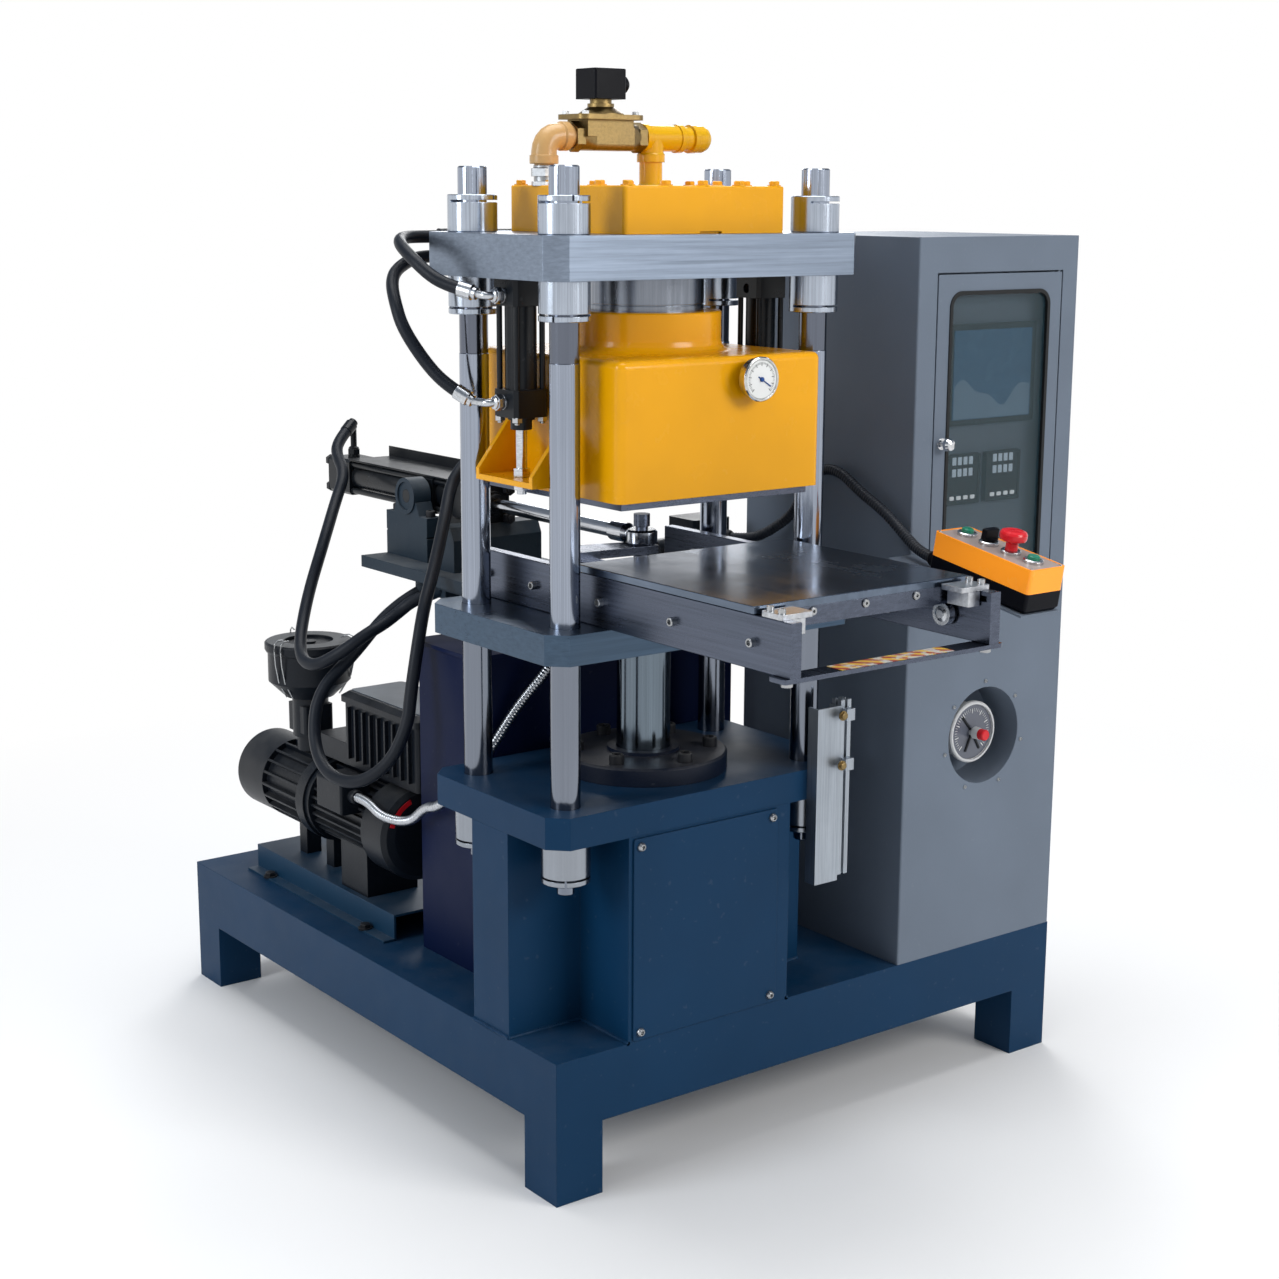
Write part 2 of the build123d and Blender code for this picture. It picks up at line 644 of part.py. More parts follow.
PORT_D = 14.0
PORT_UP, PORT_DOWN = 24.0, 21.0      # ports below the top cap's end and above the foot cap's end


def lift_cylinder(x):
    """Tie-rod cylinder hung from the top plate, with a port on the left of each cap."""
    y, half = plate_cy, LIFT_CAP / 2
    cap = extrude(chamfer(Rectangle(LIFT_CAP, LIFT_CAP).vertices(), 5), LIFT_CAP_H)
    body = Pos(x, y, top_z - LIFT_CAP_H) * cap + Pos(x, y, lift_z) * cap
    body += rod_z(x, y, LIFT_TUBE_D, lift_z, top_z)
    for dx in (-1, 1):
        for dy in (-1, 1):
            body += rod_z(x + dx * (half - 7), y + dy * (half - 7), 8, lift_z - 7, top_z)
    body += Pos(x, y, lift_z) * Rot(180, 0, 0) * turned(
        (-1, 19), (4, 19), (4, 15), (LIFT_NOSE_H - 1, 15), (LIFT_NOSE_H, 14))
    body -= rod_z(x, y, LIFT_ROD_D + 2 * SLIDE, lift_z - LIFT_NOSE_H - 1, top_z - 20)
    for z in (top_z - PORT_UP, lift_z + PORT_DOWN):
        body -= rod_x(y, z, PORT_D, x - half - 1, x - half + 5)
    return body


def lift_cylinders():
    return Compound([lift_cylinder(x) for x in lift_x])


# Platen with its rails, rollers and tie plate
rail_span = inner_w - 2 * RAIL_CLEAR
rail_x = (plate_cx - rail_span / 2, plate_cx + rail_span / 2)
table_front = plate_cy - TABLE_D / 2 - TABLE_TRAVEL
table_back = table_front + TABLE_D
rail_front = table_front - RAIL_LEAD


def platen():
    return press_plate(platen_z, PLATEN_T, [(x, y, COL_D + 2 * SLIDE) for x, y in col_places])


def slide_rail(x0, x1, inner):
    """Rail bar with a stop slot milled into the inner edge of its front end."""
    bar = block(x0, x1, rail_front, PLATE_D, platen_top, rail_top)
    bar = chamfer(bar.edges().filter_by(Axis.Y), 1.0)
    slot = sorted((inner, inner + (6 if inner == x0 else -6)))
    return bar - block(*slot, rail_front + 8, rail_front + 48, rail_top - 14, rail_top - 6)


def slide_rails():
    left, right = rail_x
    return Compound([slide_rail(left, left + RAIL_T, left + RAIL_T),
                     slide_rail(right - RAIL_T, right, right - RAIL_T)])


def tie_plate():
    """Flat bar that ties the front ends of the rails together."""
    z0 = platen_top - TIE_T
    ear = TIE_D / 2
    bar = block(rail_x[0] - ear / 2, rail_x[1] + ear / 2, rail_front, rail_front + TIE_D, z0, platen_top)
    return fillet(bar.edges().filter_by(Axis.Z), 4)


roller_z = table_z - HEAT_T - SEAT - ROLLER_D / 2


def roller(x, y, side):
    """Flanged bearing on its stud: groove, side lip and round head."""
    r = ROLLER_D / 2
    body = turned((0, 5), (3, 5), (3, r - 5), (4, r - 5), (4, r), (5 + ROLLER_T, r), (5 + ROLLER_T, r - 5),
                  (6 + ROLLER_T, 6), (8 + ROLLER_T, 6), (8 + ROLLER_T, 4))
    return Pos(x, y, roller_z) * Rot(0, 90 * side, 0) * body


def rollers():
    count = int((PLATE_D - rail_front - 2 * ROLLER_D) // ROLLER_PITCH) + 1
    rows = [rail_front + 76 + ROLLER_PITCH * i for i in range(count)]
    faces = ((rail_x[0] + RAIL_T, 1), (rail_x[1] - RAIL_T, -1))
    return Compound([roller(x, y, side) for y in rows for x, side in faces])


# Table: polished plate on a heating plate
table_w = inner_w - 2 * TABLE_CLEAR


def table_plate():
    body = block(plate_cx - table_w / 2, plate_cx + table_w / 2, table_front, table_back,
                 table_z, table_z + TABLE_T)
    return chamfer(body.faces().sort_by(Axis.Z)[-1].edges(), 1.0)


def lower_heat_plate():
    """Heating plate stepped in under the table to run between the rails on the rollers."""
    z0 = table_z - HEAT_T
    wide = rail_span / 2 - RAIL_T - MOVE_GAP
    body = block(plate_cx - wide, plate_cx + wide, table_front, table_back, z0, table_z)
    for i in (-1, 0, 1):
        x = plate_cx + i * table_w / 4.15
        body -= rod_y(x, table_z - 7, HEATER_D, table_front - 1, table_front + 60)
    return body


link_z = rail_top - 4.0
eye_z = link_z + LINK_T + SEAT
pin_y = table_back + PIN_BACK
LINK_X = 124.0       # link arm left of the pin


def table_link():
    """Bent pull plate behind the table, with the pin standing in its end."""
    wide = 35
    x0 = plate_cx - LINK_X
    arm = block(x0, x0 + wide, table_back, pin_y + EYE_D, table_z - HEAT_T, link_z + 1)
    plan = Polyline((x0, pin_y - 10), (plate_cx, pin_y - 22), (plate_cx + 14, pin_y - 22),
                    (plate_cx + 14, pin_y + 22), (x0 + wide, pin_y + EYE_D), (x0, pin_y + EYE_D),
                    close=True)
    tongue = Pos(0, 0, link_z) * extrude(make_face(plan), LINK_T, dir=(0, 0, 1))
    link = arm + tongue - rod_z(plate_cx, pin_y, PIN_D + 2 * SEAT, link_z - 1, link_z + LINK_T + 1)
    r = PIN_D / 2
    pin = Pos(plate_cx, pin_y, 0) * turned(
        (link_z - 22, r + 3), (link_z - SEAT, r + 3), (link_z - SEAT, r), (rod_z_axis + 15, r),
        (rod_z_axis + 15, r + 3), (rod_z_axis + 33, r + 3))
    return Compound([link, pin])


def table_rod():
    """Piston rod with a forged eye that drops over the pin."""
    rod_end = cyl_front + CAP_L + 30
    neck = EYE_D / 2 + 32
    eye_h = 22
    body = rod_y(plate_cx, rod_z_axis, ROD_D, pin_y + neck, rod_end)
    shank = Pos(plate_cx, pin_y, rod_z_axis) * along_y * turned(
        (12, 9), (20, 9), (26, 10), (34, 15), (neck + 12, 15), (neck + 14, 12), (neck + 16, 11))
    eye = Pos(plate_cx, pin_y, eye_z) * turned((0, EYE_D / 2 - 3), (3, EYE_D / 2), (eye_h - 3, EYE_D / 2),
                                               (eye_h, EYE_D / 2 - 3))
    body += shank + eye
    return body - rod_z(plate_cx, pin_y, PIN_D + 2 * SEAT, eye_z - 1, eye_z + 40)


# Table cylinder on an arm behind the platen
cyl_front = pin_y + TABLE_TRAVEL + CYL_LEAD
cyl_rear = cyl_front + TABLE_TRAVEL + CYL_REST_L
trunnion_y = cyl_front + TRUNNION_BACK
arm_z = platen_z + ARM_RISE
arm_top = arm_z + ARM_T
arm_end = trunnion_y + BLOCK_L / 2 + 2
REST_L = 58.0


def cylinder_bracket():
    """Arm out of the platen's back: plate on two tapering ribs, with a rest under the cylinder."""
    body = block(plate_cx - ARM_HALF, plate_cx + ARM_HALF, PLATE_D, arm_end, arm_z, arm_top)
    rib = [(PLATE_D, platen_z), (PLATE_D + 300, platen_z), (arm_end - 60, arm_z - 2),
           (arm_end - 60, arm_z + 1), (PLATE_D, arm_z + 1)]
    for x in (plate_cx - RIB_HALF, plate_cx + RIB_HALF - 10):
        body += side_profile(rib, x, x + 10)
    rest_z = rod_z_axis - CYL_CAP / 2 - SEAT
    rest_y = cyl_front - 14
    rest = [(rest_y, arm_top - 1), (rest_y + REST_L, arm_top - 1), (rest_y + REST_L, rest_z - 20),
            (rest_y + REST_L - 10, rest_z), (rest_y + 10, rest_z), (rest_y, rest_z - 20)]
    body += side_profile(rest, plate_cx - RIB_HALF + 8, plate_cx + RIB_HALF - 8)
    for route in (REAR_HOSE, FRONT_HOSE):
        body += hose_end(route[-1], route[-2], 22)
    y = (REAR_HOSE[-1][1] + FRONT_HOSE[-1][1]) / 2
    left = plate_cx - RIB_HALF + 5
    return body + block(left, left + 40, y - 46, y + 46, arm_z - 26, arm_z + 1)


def trunnion_block(side):
    """Pillow block on its riser: foot with ears, split line and the round trunnion housing."""
    half, z0 = BLOCK_L / 2, arm_top
    split = z0 + 40
    shoulder = rod_z_axis - 30
    foot = [(-half, z0), (half, z0), (half, split - 1.5), (half - 3, split), (half, split + 1.5),
            (half, shoulder), (half - 24, shoulder), (half - 34, rod_z_axis - 8),
            (-half + 34, rod_z_axis - 8), (-half + 24, shoulder), (-half, shoulder),
            (-half, split + 1.5), (-half + 3, split), (-half, split - 1.5)]
    inner = plate_cx + side * (CYL_CAP / 2 + 6)
    ends = sorted((inner, inner + side * BLOCK_T))
    body = side_profile([(trunnion_y + y, z) for y, z in foot], *ends)
    outer = inner + side * (BLOCK_T + 3)
    housing = rod_x(trunnion_y, rod_z_axis, HOUSING_D, *sorted((inner, outer)))
    dish = rod_x(trunnion_y, rod_z_axis, HOUSING_D - 14, *sorted((outer, outer - side * 3)))
    bore = rod_x(trunnion_y, rod_z_axis, TRUNNION_D + 2 * SEAT, ends[0] - 5, ends[1] + 5)
    return body + housing - dish - bore


def trunnion_blocks():
    return Compound([trunnion_block(-1), trunnion_block(1)])


TRAY_W = 82.0


def table_cylinder():
    """Hydraulic cylinder: square caps, tie rods, trunnion block and the sheet tray on top."""
    c, x, z = CYL_CAP / 2, plate_cx, rod_z_axis
    body = rod_y(x, z, CYL_TUBE_D, cyl_front, cyl_rear)
    cap = chamfer(Rectangle(CYL_CAP, CYL_CAP).vertices(), 5)
    for y0, length in ((cyl_front, CAP_L), (cyl_rear - CAP_L, CAP_L), (trunnion_y - 24, 48)):
        body += Pos(x, y0, z) * along_y * extrude(cap, length)
    for dx in (-1, 1):
        for dz in (-1, 1):
            body += rod_y(x + dx * (c - 8), z + dz * (c - 8), 10, cyl_front - 8, cyl_rear)
    body += Pos(x, cyl_front, z) * toward_front * turned((-1, 21), (7, 21), (7, 17), (12, 16))
    body += rod_x(trunnion_y, z, TRUNNION_D, x - c - BLOCK_T - 6, x + c + BLOCK_T + 6)
    body -= rod_y(x, z, ROD_D + 2 * SLIDE, cyl_front - 13, cyl_rear - 40)
    for route, y in ((REAR_HOSE, cyl_rear - CAP_L / 2), (FRONT_HOSE, cyl_front + CAP_L / 2)):
        body += bent_tail(Vector(x, y, z + c), Vector(0, 0, 1), route[0], route[1])
    tray = [(x - c, z + c - 1), (x - c + TRAY_W, z + c - 1), (x - c + TRAY_W, z + c + 20),
            (x - c + TRAY_W - 2, z + c + 20), (x - c + TRAY_W - 2, z + c + 2), (x - c, z + c + 2)]
    sheet = make_face(Plane.XZ * Polyline(tray, close=True))
    barrel = extrude(sheet, cyl_rear - CAP_L - cyl_front - 66, dir=(0, 1, 0))
    return body + Pos(0, cyl_front + 65, 0) * barrel


# Cabinet, its door and what stands behind the door
cab_x = (base_w - CAB_W, base_w)
cab_top = DECK_TOP + CAB_H
door_x = (cab_x[0] + DOOR_IN, cab_x[0] + DOOR_IN + DOOR_W)
door_z = (cab_top - DOOR_DOWN - DOOR_H, cab_top - DOOR_DOWN)
door_mid = ((door_x[0] + door_x[1]) / 2, (door_z[0] + door_z[1]) / 2)
hinge_x = door_x[1] - HINGE_IN
pocket_x, pocket_z = cab_x[0] + POCKET_IN, DECK_TOP + POCKET_UP


def cabinet():
    """Closed sheet cabinet with the door's recess, the hinge holes and the round dial pocket."""
    body = block(*cab_x, 0, CAB_D, DECK_TOP, cab_top)
    body = fillet(body.edges().filter_by(Axis.Z), 3)
    g = DOOR_GAP
    body -= block(door_x[0] - g, door_x[1] + g, -1, RECESS_D, door_z[0] - g, door_z[1] + g)
    body -= rod_y(pocket_x, pocket_z, POCKET_D, -1, POCKET_DEPTH)
    return body - rod_z(hinge_x, HINGE_Y, HINGE_PIN_D + 2 * SEAT, door_z[0] - HINGE_REACH - 1,
                        door_z[1] + HINGE_REACH + 1)


def contact_gauge():
    """Contact gauge deep in its pocket: flanged case, sunk dial and the knob in its middle."""
    r = DIAL_D / 2
    return Pos(pocket_x, POCKET_DEPTH, pocket_z) * toward_front * turned(
        (0, 24), (12, 24), (12, r - 6), (40, r - 6), (40, r), (46, r), (48, r - 2), (48, r - 5),
        (44, r - 5),
        (44, 6), (52, 6), (52, 10), (64, 9))


SCREEN = (190.0, 154.0)
SCREEN_DOWN = 76.0
CONTROLLER = (76.0, 78.0)
CONTROLLER_STEP = 89.0
CONTROLLER_DOWN = 274.0


def instruments():
    """Operator screen above two panel controllers, each a bezel round a sunk face."""
    solids = []
    places = [(door_mid[0] + 6, door_z[1] - SCREEN_DOWN - SCREEN[1] / 2, SCREEN, 8, 9)]
    for i in (0, 1):
        x = door_x[0] + 45 + CONTROLLER[0] / 2 + i * CONTROLLER_STEP
        places.append((x, door_z[1] - CONTROLLER_DOWN - CONTROLLER[1] / 2, CONTROLLER, 9, 5))
    for x, z, (w, h), t, rim in places:
        bezel = Pos(x, RECESS_D - t / 2, z) * Box(w, t, h)
        bezel = fillet(bezel.edges().filter_by(Axis.Y), 3)
        sunk = Pos(x, RECESS_D - t, z) * Box(w - 2 * rim, 2, h - 2 * rim)
        solids.append(bezel - sunk)
    return Compound(solids)


def door_frame():
    """Flush sheet door with a rounded window, hinge lugs and the pins they turn on."""
    light = RectangleRounded(DOOR_W - 2 * WINDOW_MARGIN, DOOR_H - 2 * WINDOW_MARGIN, WINDOW_R)
    opening = extrude(light, 20)
    leaf = extrude(RectangleRounded(DOOR_W, DOOR_H, 2), DOOR_T)
    body = Pos(door_mid[0], DOOR_T, door_mid[1]) * toward_front * (leaf - Pos(0, 0, -5) * opening)
    for z, way in ((door_z[0], -1), (door_z[1], 1)):
        lug = sorted((z, z - way * 12))
        pin = sorted((z - way * 12, z + way * HINGE_REACH))
        body += block(hinge_x - HINGE_IN - 1, hinge_x + HINGE_IN, DOOR_T, HINGE_Y + 3, *lug)
        body += rod_z(hinge_x, HINGE_Y, HINGE_PIN_D, *pin)
    return body


def door_glass():
    """Window pane held behind the door's opening."""
    lap = 8
    margin = 2 * (WINDOW_MARGIN - lap)
    pane = RectangleRounded(DOOR_W - margin, DOOR_H - margin, WINDOW_R + lap)
    return Pos(door_mid[0], DOOR_T + 3, door_mid[1]) * toward_front * extrude(pane, 3)


def door_knob():
    """Mushroom knob on a collar."""
    r = KNOB_D / 2
    return Pos(door_x[0] + 16, 0, door_mid[1] + 6) * toward_front * turned(
        (0, r * 0.9), (2, r * 0.9), (3, 4), (8, 4), (10, r * 0.75), (13, r), (18, r), (22, r * 0.8),
        (24, r * 0.4))


# Control box
tilt = Pos(cab_x[0] - BOX_OUT, -BOX_FRONT, BOX_REAR_Z) * Rot(BOX_TILT, 0, 0)
box_face = BOX_LOWER_H + BOX_TOP_H
PANEL_SINK = 1.5
NECK_H = 6.0


def button_y(i):
    return -BOX_L / 2 + (1.5 - i) * BUTTON_STEP


def control_box_base():
    """Black lower shell with a drawn-in foot, and the cable gland in its rear end."""
    foot = RectangleRounded(BOX_W - 8, BOX_L - 8, 4)
    rim = RectangleRounded(BOX_W, BOX_L, 4)
    shell = loft([foot, Pos(0, 0, 6) * rim, Pos(0, 0, BOX_LOWER_H) * rim], ruled=True)
    shell = tilt * Pos(BOX_W / 2, -BOX_L / 2, 0) * shell
    return shell + gland(BOX_CONDUIT[0], BOX_CONDUIT[1], 22)


def control_box_top():
    """Orange upper shell with a sunk top panel and four button holes."""
    rim = extrude(RectangleRounded(BOX_W, BOX_L, 5), BOX_TOP_H)
    panel = Pos(0, 0, BOX_TOP_H - PANEL_SINK) * extrude(RectangleRounded(BOX_W - 5, BOX_L - 5, 3), 5)
    body = Pos(BOX_W / 2, -BOX_L / 2, BOX_LOWER_H) * (rim - panel)
    for i in range(4):
        body -= Pos(BOX_W / 2, button_y(i), box_face) * Cylinder(BUTTON_BORE / 2, 50)
    return tilt * body


def collar(i):
    """Threaded button collar: chamfered ring on the panel and its sleeve in the hole."""
    z0 = box_face - PANEL_SINK + SEAT
    ring = turned((-20, BUTTON_BORE / 2 - SEAT), (0, BUTTON_BORE / 2 - SEAT), (0, BUTTON_D / 2),
                  (NECK_H - 1.5, BUTTON_D / 2), (NECK_H, BUTTON_D / 2 - 2))
    ring -= Cylinder(CAP_D / 2 + SLIDE, 80)
    return tilt * Pos(BOX_W / 2, button_y(i), z0) * ring


def button_collars():
    return Compound([collar(i) for i in range(4)])


def on_button(i, solid):
    return tilt * Pos(BOX_W / 2, button_y(i), box_face + NECK_H) * solid


def push_cap(i):
    r = CAP_D / 2
    return on_button(i, turned((-14, r), (2.5, r), (4, r - 1.5)))


def selector_knob():
    """Rotary selector: drum with a raised grip across it."""
    drum = turned((-14, CAP_D / 2), (1, CAP_D / 2), (1, 12.5), (3, 12.5))
    grip = Pos(0, 0, 10) * Box(25, 10, 15)
    return on_button(1, drum + chamfer(grip.faces().sort_by(Axis.Z)[-1].edges(), 2))


def stop_button():
    """Mushroom stop head on its stem."""
    r = STOP_D / 2
    return on_button(2, turned((-14, CAP_D / 2), (9, CAP_D / 2), (11, 12), (14, r - 1), (17, r), (23, r),
                               (26, r - 2), (27.5, r - 7)))


def control_shelf():
    """Sheet shelf under the box, run back to the cabinet and turned down against its front."""
    run = BOX_FRONT / cos(radians(BOX_TILT))
    plan = Pos(BOX_W / 2 - 2, (run - BOX_L) / 2, -SHELF_T - SEAT) * Rectangle(BOX_W + 8, BOX_L + run)
    body = tilt * extrude(plan, SHELF_T)
    body -= block(cab_x[0] - BOX_OUT - 50, base_w, 0, CAB_D, DECK_TOP, cab_top)
    rear_z = BOX_REAR_Z + BOX_FRONT * tan(radians(BOX_TILT))
    return body + block(cab_x[0] + 3, door_x[0] - 6, -SHELF_T, 0, rear_z - 73, rear_z - SHELF_T)


# Position sensor rail on the press front
def sensor_rail():
    """Aluminium channel with a slotted profile beside it, on two standoffs."""
    x0 = PLATE_W - SENSOR_IN
    z0 = lower_z - SENSOR_DROP
    z1 = z0 + SENSOR_L
    wall = 3.0
    channel = [(x0, 0), (x0, -SENSOR_D), (x0 + SENSOR_W, -SENSOR_D), (x0 + SENSOR_W, 0),
               (x0 + SENSOR_W - wall, 0), (x0 + SENSOR_W - wall, -SENSOR_D + wall),
               (x0 + wall, -SENSOR_D + wall), (x0 + wall, 0)]
    body = Pos(0, 0, z0) * extrude(make_face(Polyline(channel, close=True)), SENSOR_L, dir=(0, 0, 1))
    s = SLOT_PROFILE
    square = Rectangle(s, s)
    for turn in (0, 90, 180, 270):
        square -= Rot(0, 0, turn) * Pos(0, s / 2) * Rectangle(5, 3.2)
        square -= Rot(0, 0, turn) * Pos(0, s / 2 - 3.2) * Rectangle(9, 3.4)
    profile = Pos(x0 + SENSOR_W + s / 2, -SENSOR_D + s / 2, z0 + 8) * extrude(square, SENSOR_L)
    foot = block(x0 + wall, x0 + SENSOR_W - wall, -SENSOR_D + wall, 0, lower_z + 6, lower_z + 34)
    clamps = [block(x0 + SENSOR_W + 2, x0 + SENSOR_W + s - 2, -SENSOR_D - 11, -SENSOR_D + 2, z, z + 18)
              for z in (z0 + 172, z0 + 248)]
    return body + profile + foot + clamps[0] + clamps[1]


# Oil tank and vacuum pump set behind the press
tank_y = (PLATE_D + TANK_GAP, PLATE_D + TANK_GAP + TANK_D)
tank_top = DECK_TOP + TANK_H
mount_y = (tank_y[1] + MOUNT_GAP, tank_y[1] + MOUNT_GAP + MOUNT_L)
mount_top = DECK_TOP + MOUNT_H
pump_z = mount_top + PUMP_UP
pump_y = mount_y[0] + 267     # joint between motor and pump


def oil_tank():
    """Welded tank with a flanged lid, a filler cap and a gland on the lid."""
    x0, x1 = TANK_LEFT, TANK_LEFT + TANK_W
    body = block(x0, x1, *tank_y, DECK_TOP, tank_top - LID_T)
    lid = block(x0 - LID_OUT, x1 + LID_OUT, tank_y[0] - LID_OUT, tank_y[1] + LID_OUT,
                tank_top - LID_T, tank_top)
    body += fillet(lid.edges().filter_by(Axis.Z), 6)
    middle = (tank_y[0] + tank_y[1]) / 2
    body += Pos(x1 - 170, middle, tank_top - 1) * turned((0, 22), (6, 22), (6, 30), (26, 30), (30, 26))
    x, y, z = TANK_CONDUIT[-1]
    box = block(x - 26, x + 54, y + 18, y + 78, tank_top - 1, z + 20)
    body += fillet(box.edges().filter_by(Axis.Z), 4)
    return body + gland(TANK_CONDUIT[-1], TANK_CONDUIT[-2], 24)


def pump_mount():
    """Top-hat sheet with a foot flange along each side."""
    t, half = MOUNT_T, MOUNT_W / 2
    f = half + MOUNT_FLANGE - t
    outline = [(-f, 0), (-half + t, 0), (-half + t, MOUNT_H - t), (half - t, MOUNT_H - t), (half - t, 0),
               (f, 0), (f, t), (half, t), (half, MOUNT_H), (-half, MOUNT_H), (-half, t), (-f, t)]
    sheet = make_face(Plane.XZ * Polyline(outline, close=True))
    return Pos(PUMP_X + 8, mount_y[0], DECK_TOP) * extrude(sheet, MOUNT_L, dir=(0, 1, 0))


def finned(core_d, fins, length, gap_turns=()):
    """Round body along +y with straight cooling fins all round it."""
    plan = Circle(core_d / 2)
    for i in range(fins):
        if i not in gap_turns:
            fin = Pos(core_d / 2 + FIN_H / 2 - 1, 0) * Rectangle(FIN_H + 2, FIN_T)
            plan += Rot(0, 0, 360 * i / fins) * fin
    return along_y * extrude(plan, length)


EXHAUST = (102.0, 222.0)      # oil box, left and right
EXHAUST_L = 235.0
EXHAUST_FRONT = 36.0          # oil box in front of the mount
EXHAUST_Z = (80.0, 206.0)     # above the pump axis


def pump_body():
    """Rotary vane pump: finned barrel, fan cowl, feet and the lidded oil box in front of it."""
    at_axis = Pos(PUMP_X, 0, pump_z)
    end = pump_y + 160
    body = at_axis * Pos(0, pump_y, 0) * along_y * turned((0, 76), (26, 76), (30, 70), (34, 60), (164, 60))
    body += at_axis * Pos(0, pump_y + 30, 0) * finned(PUMP_D, PUMP_FINS, 128)
    cowl_r = 69.5
    cowl = turned((0, cowl_r), (92, cowl_r), (108, cowl_r - 12), (112, cowl_r - 30))
    body += at_axis * Pos(0, end, 0) * along_y * cowl
    for y in (pump_y + 8, pump_y + 104):
        body += block(PUMP_X - 14, PUMP_X + 14, y, y + 26, mount_top, pump_z)
    y0 = mount_y[0] - EXHAUST_FRONT
    x0, x1 = EXHAUST
    z0, z1 = pump_z + EXHAUST_Z[0], pump_z + EXHAUST_Z[1]
    oil_box = block(x0, x1, y0, y0 + EXHAUST_L, z0, z1 - 18)
    oil_box = fillet(oil_box.edges().filter_by(Axis.Z), 8)
    lid = Pos((x0 + x1) / 2, y0 + EXHAUST_L / 2, z1 - 18) * loft(
        [RectangleRounded(x1 - x0 + 10, EXHAUST_L + 10, 8),
         Pos(0, 0, 10) * RectangleRounded(x1 - x0 + 10, EXHAUST_L + 10, 8),
         Pos(0, 0, 18) * RectangleRounded(x1 - x0 - 10, EXHAUST_L - 10, 8)], ruled=True)
    body += oil_box + lid
    for i in range(9):
        y = y0 + 18 + i * 24
        body += block(x0 - 7, x0 + 1, y, y + FIN_T, z0 + 14, z1 - 24)
    body += block(PUMP_X - 30, PUMP_X + 60, y0 + EXHAUST_L - 12, pump_y + 26, z0 - 1, z0 + 36)
    return body + block(PUMP_X - 30, PUMP_X + 30, pump_y + 2, pump_y + 26, pump_z + 50, z0)


def pump_motor():
    """Flange motor: finned frame, fan cowl toward the tank, foot and terminal box."""
    at_axis = Pos(PUMP_X, 0, pump_z)
    y0 = mount_y[0] - 3
    length = pump_y - SEAT - y0
    r, fan_r = MOTOR_D / 2, FAN_D / 2
    body = at_axis * Pos(0, y0, 0) * along_y * turned(
        (0, fan_r - 22), (3, fan_r - 8), (9, fan_r), (72, fan_r), (74, fan_r - 3), (74, r - 8),
        (length - 12, r - 8),
        (length - 12, r + 6), (length, r + 6))
    body += at_axis * Pos(0, y0 + 70, 0) * finned(MOTOR_D - 2 * FIN_H, MOTOR_FINS, length - 80)
    body += block(PUMP_X - 48, PUMP_X + 48, y0 + 104, y0 + 190, mount_top, pump_z - 40)
    x, y, z = TANK_CONDUIT[0]
    terminal = block(x - 22, x + 32, y + 18, y + 100, z - 32, z + 22)
    body += fillet(terminal.faces().sort_by(Axis.X)[0].edges(), 4)
    return body + gland(TANK_CONDUIT[0], TANK_CONDUIT[1], 24)


FILTER_BACK = 85.0            # filter behind the joint of motor and pump


def pump_filter():
    """Inlet filter: square neck, tapering bowl and a flat lid with a sunk middle."""
    r = FILTER_D / 2
    neck_z = pump_z + PUMP_D / 2 + FIN_H + SEAT
    body = turned((0, 24), (26, 24), (26, 31), (94, 31), (96, 42), (124, r - 5), (174, r - 5),
                  (176, r - 2), (180, r),
                  (190, r), (192, r - 2), (192, 42), (187, 42), (187, 12), (191, 12))
    place = Pos(PUMP_X - 10, pump_y + FILTER_BACK, neck_z)
    block_neck = extrude(RectangleRounded(56, 62, 6), 48)
    return place * (body + Pos(0, 0, 34) * block_neck)


# Valve block behind the top plate that feeds the two lift cylinders
def valve_manifold():
    """Drilled block with two coils on its back, and the valve stack on the tank's lid."""
    y0 = PLATE_D
    z0, z1 = top_z + 12, top_top + 2
    left = UPPER_HOSE[0][0] + 26
    body = block(left, left + 250, y0, y0 + 68, z0, z1)
    body = chamfer(body.edges().filter_by(Axis.X), 2)
    for i in (0, 1):
        coil = turned((0, 21), (56, 21), (60, 17), (60, 9), (70, 9))
        body += Pos(left + 70 + i * 110, y0 + 67, (z0 + z1) / 2) * along_y * coil
    for route in (UPPER_HOSE, LOWER_HOSE):
        body += hose_end(route[0], route[1], 28)
    x, y, z = BOX_CONDUIT[-1]
    stack = block(x - 62, x + 14, y + 18, y + 88, tank_top, z + 30)
    stack = chamfer(stack.edges().filter_by(Axis.Z), 4)
    stack += rod_x(y + 53, z - 20, 42, x - 118, x - 60)
    stack += rod_x(y + 53, z - 80, 42, x - 118, x - 60)
    return Compound([body, stack + gland(BOX_CONDUIT[-1], BOX_CONDUIT[-2], 26)])


# Hoses and conduits, each a tube through hand-chosen points
def tube(label, points, diameter):
    """Round tube on straight runs joined by arcs as large as the runs allow."""
    spots = [Vector(*p) for p in points]
    radii = []
    for a, b, c in zip(spots, spots[1:], spots[2:]):
        half_turn = radians((b - a).get_angle(c - b) / 2)
        radii.append(0.45 * min((b - a).length, (c - b).length) / tan(half_turn))
    path = FilletPolyline(*spots, radius=radii)
    solid = sweep(Plane(path @ 0, z_dir=path % 0) * Circle(diameter / 2), path=path)
    ideal = path.length * 3.14159265 * diameter ** 2 / 4
    print(label, "length", round(path.length), "radii", [round(r) for r in radii],
          "volume ratio", round(solid.volume / ideal, 4))
    return solid


port_x = LIFT_INSET - LIFT_CAP / 2
upper_port = (port_x, plate_cy, top_z - PORT_UP)
lower_port = (port_x, plate_cy, lift_z + PORT_DOWN)


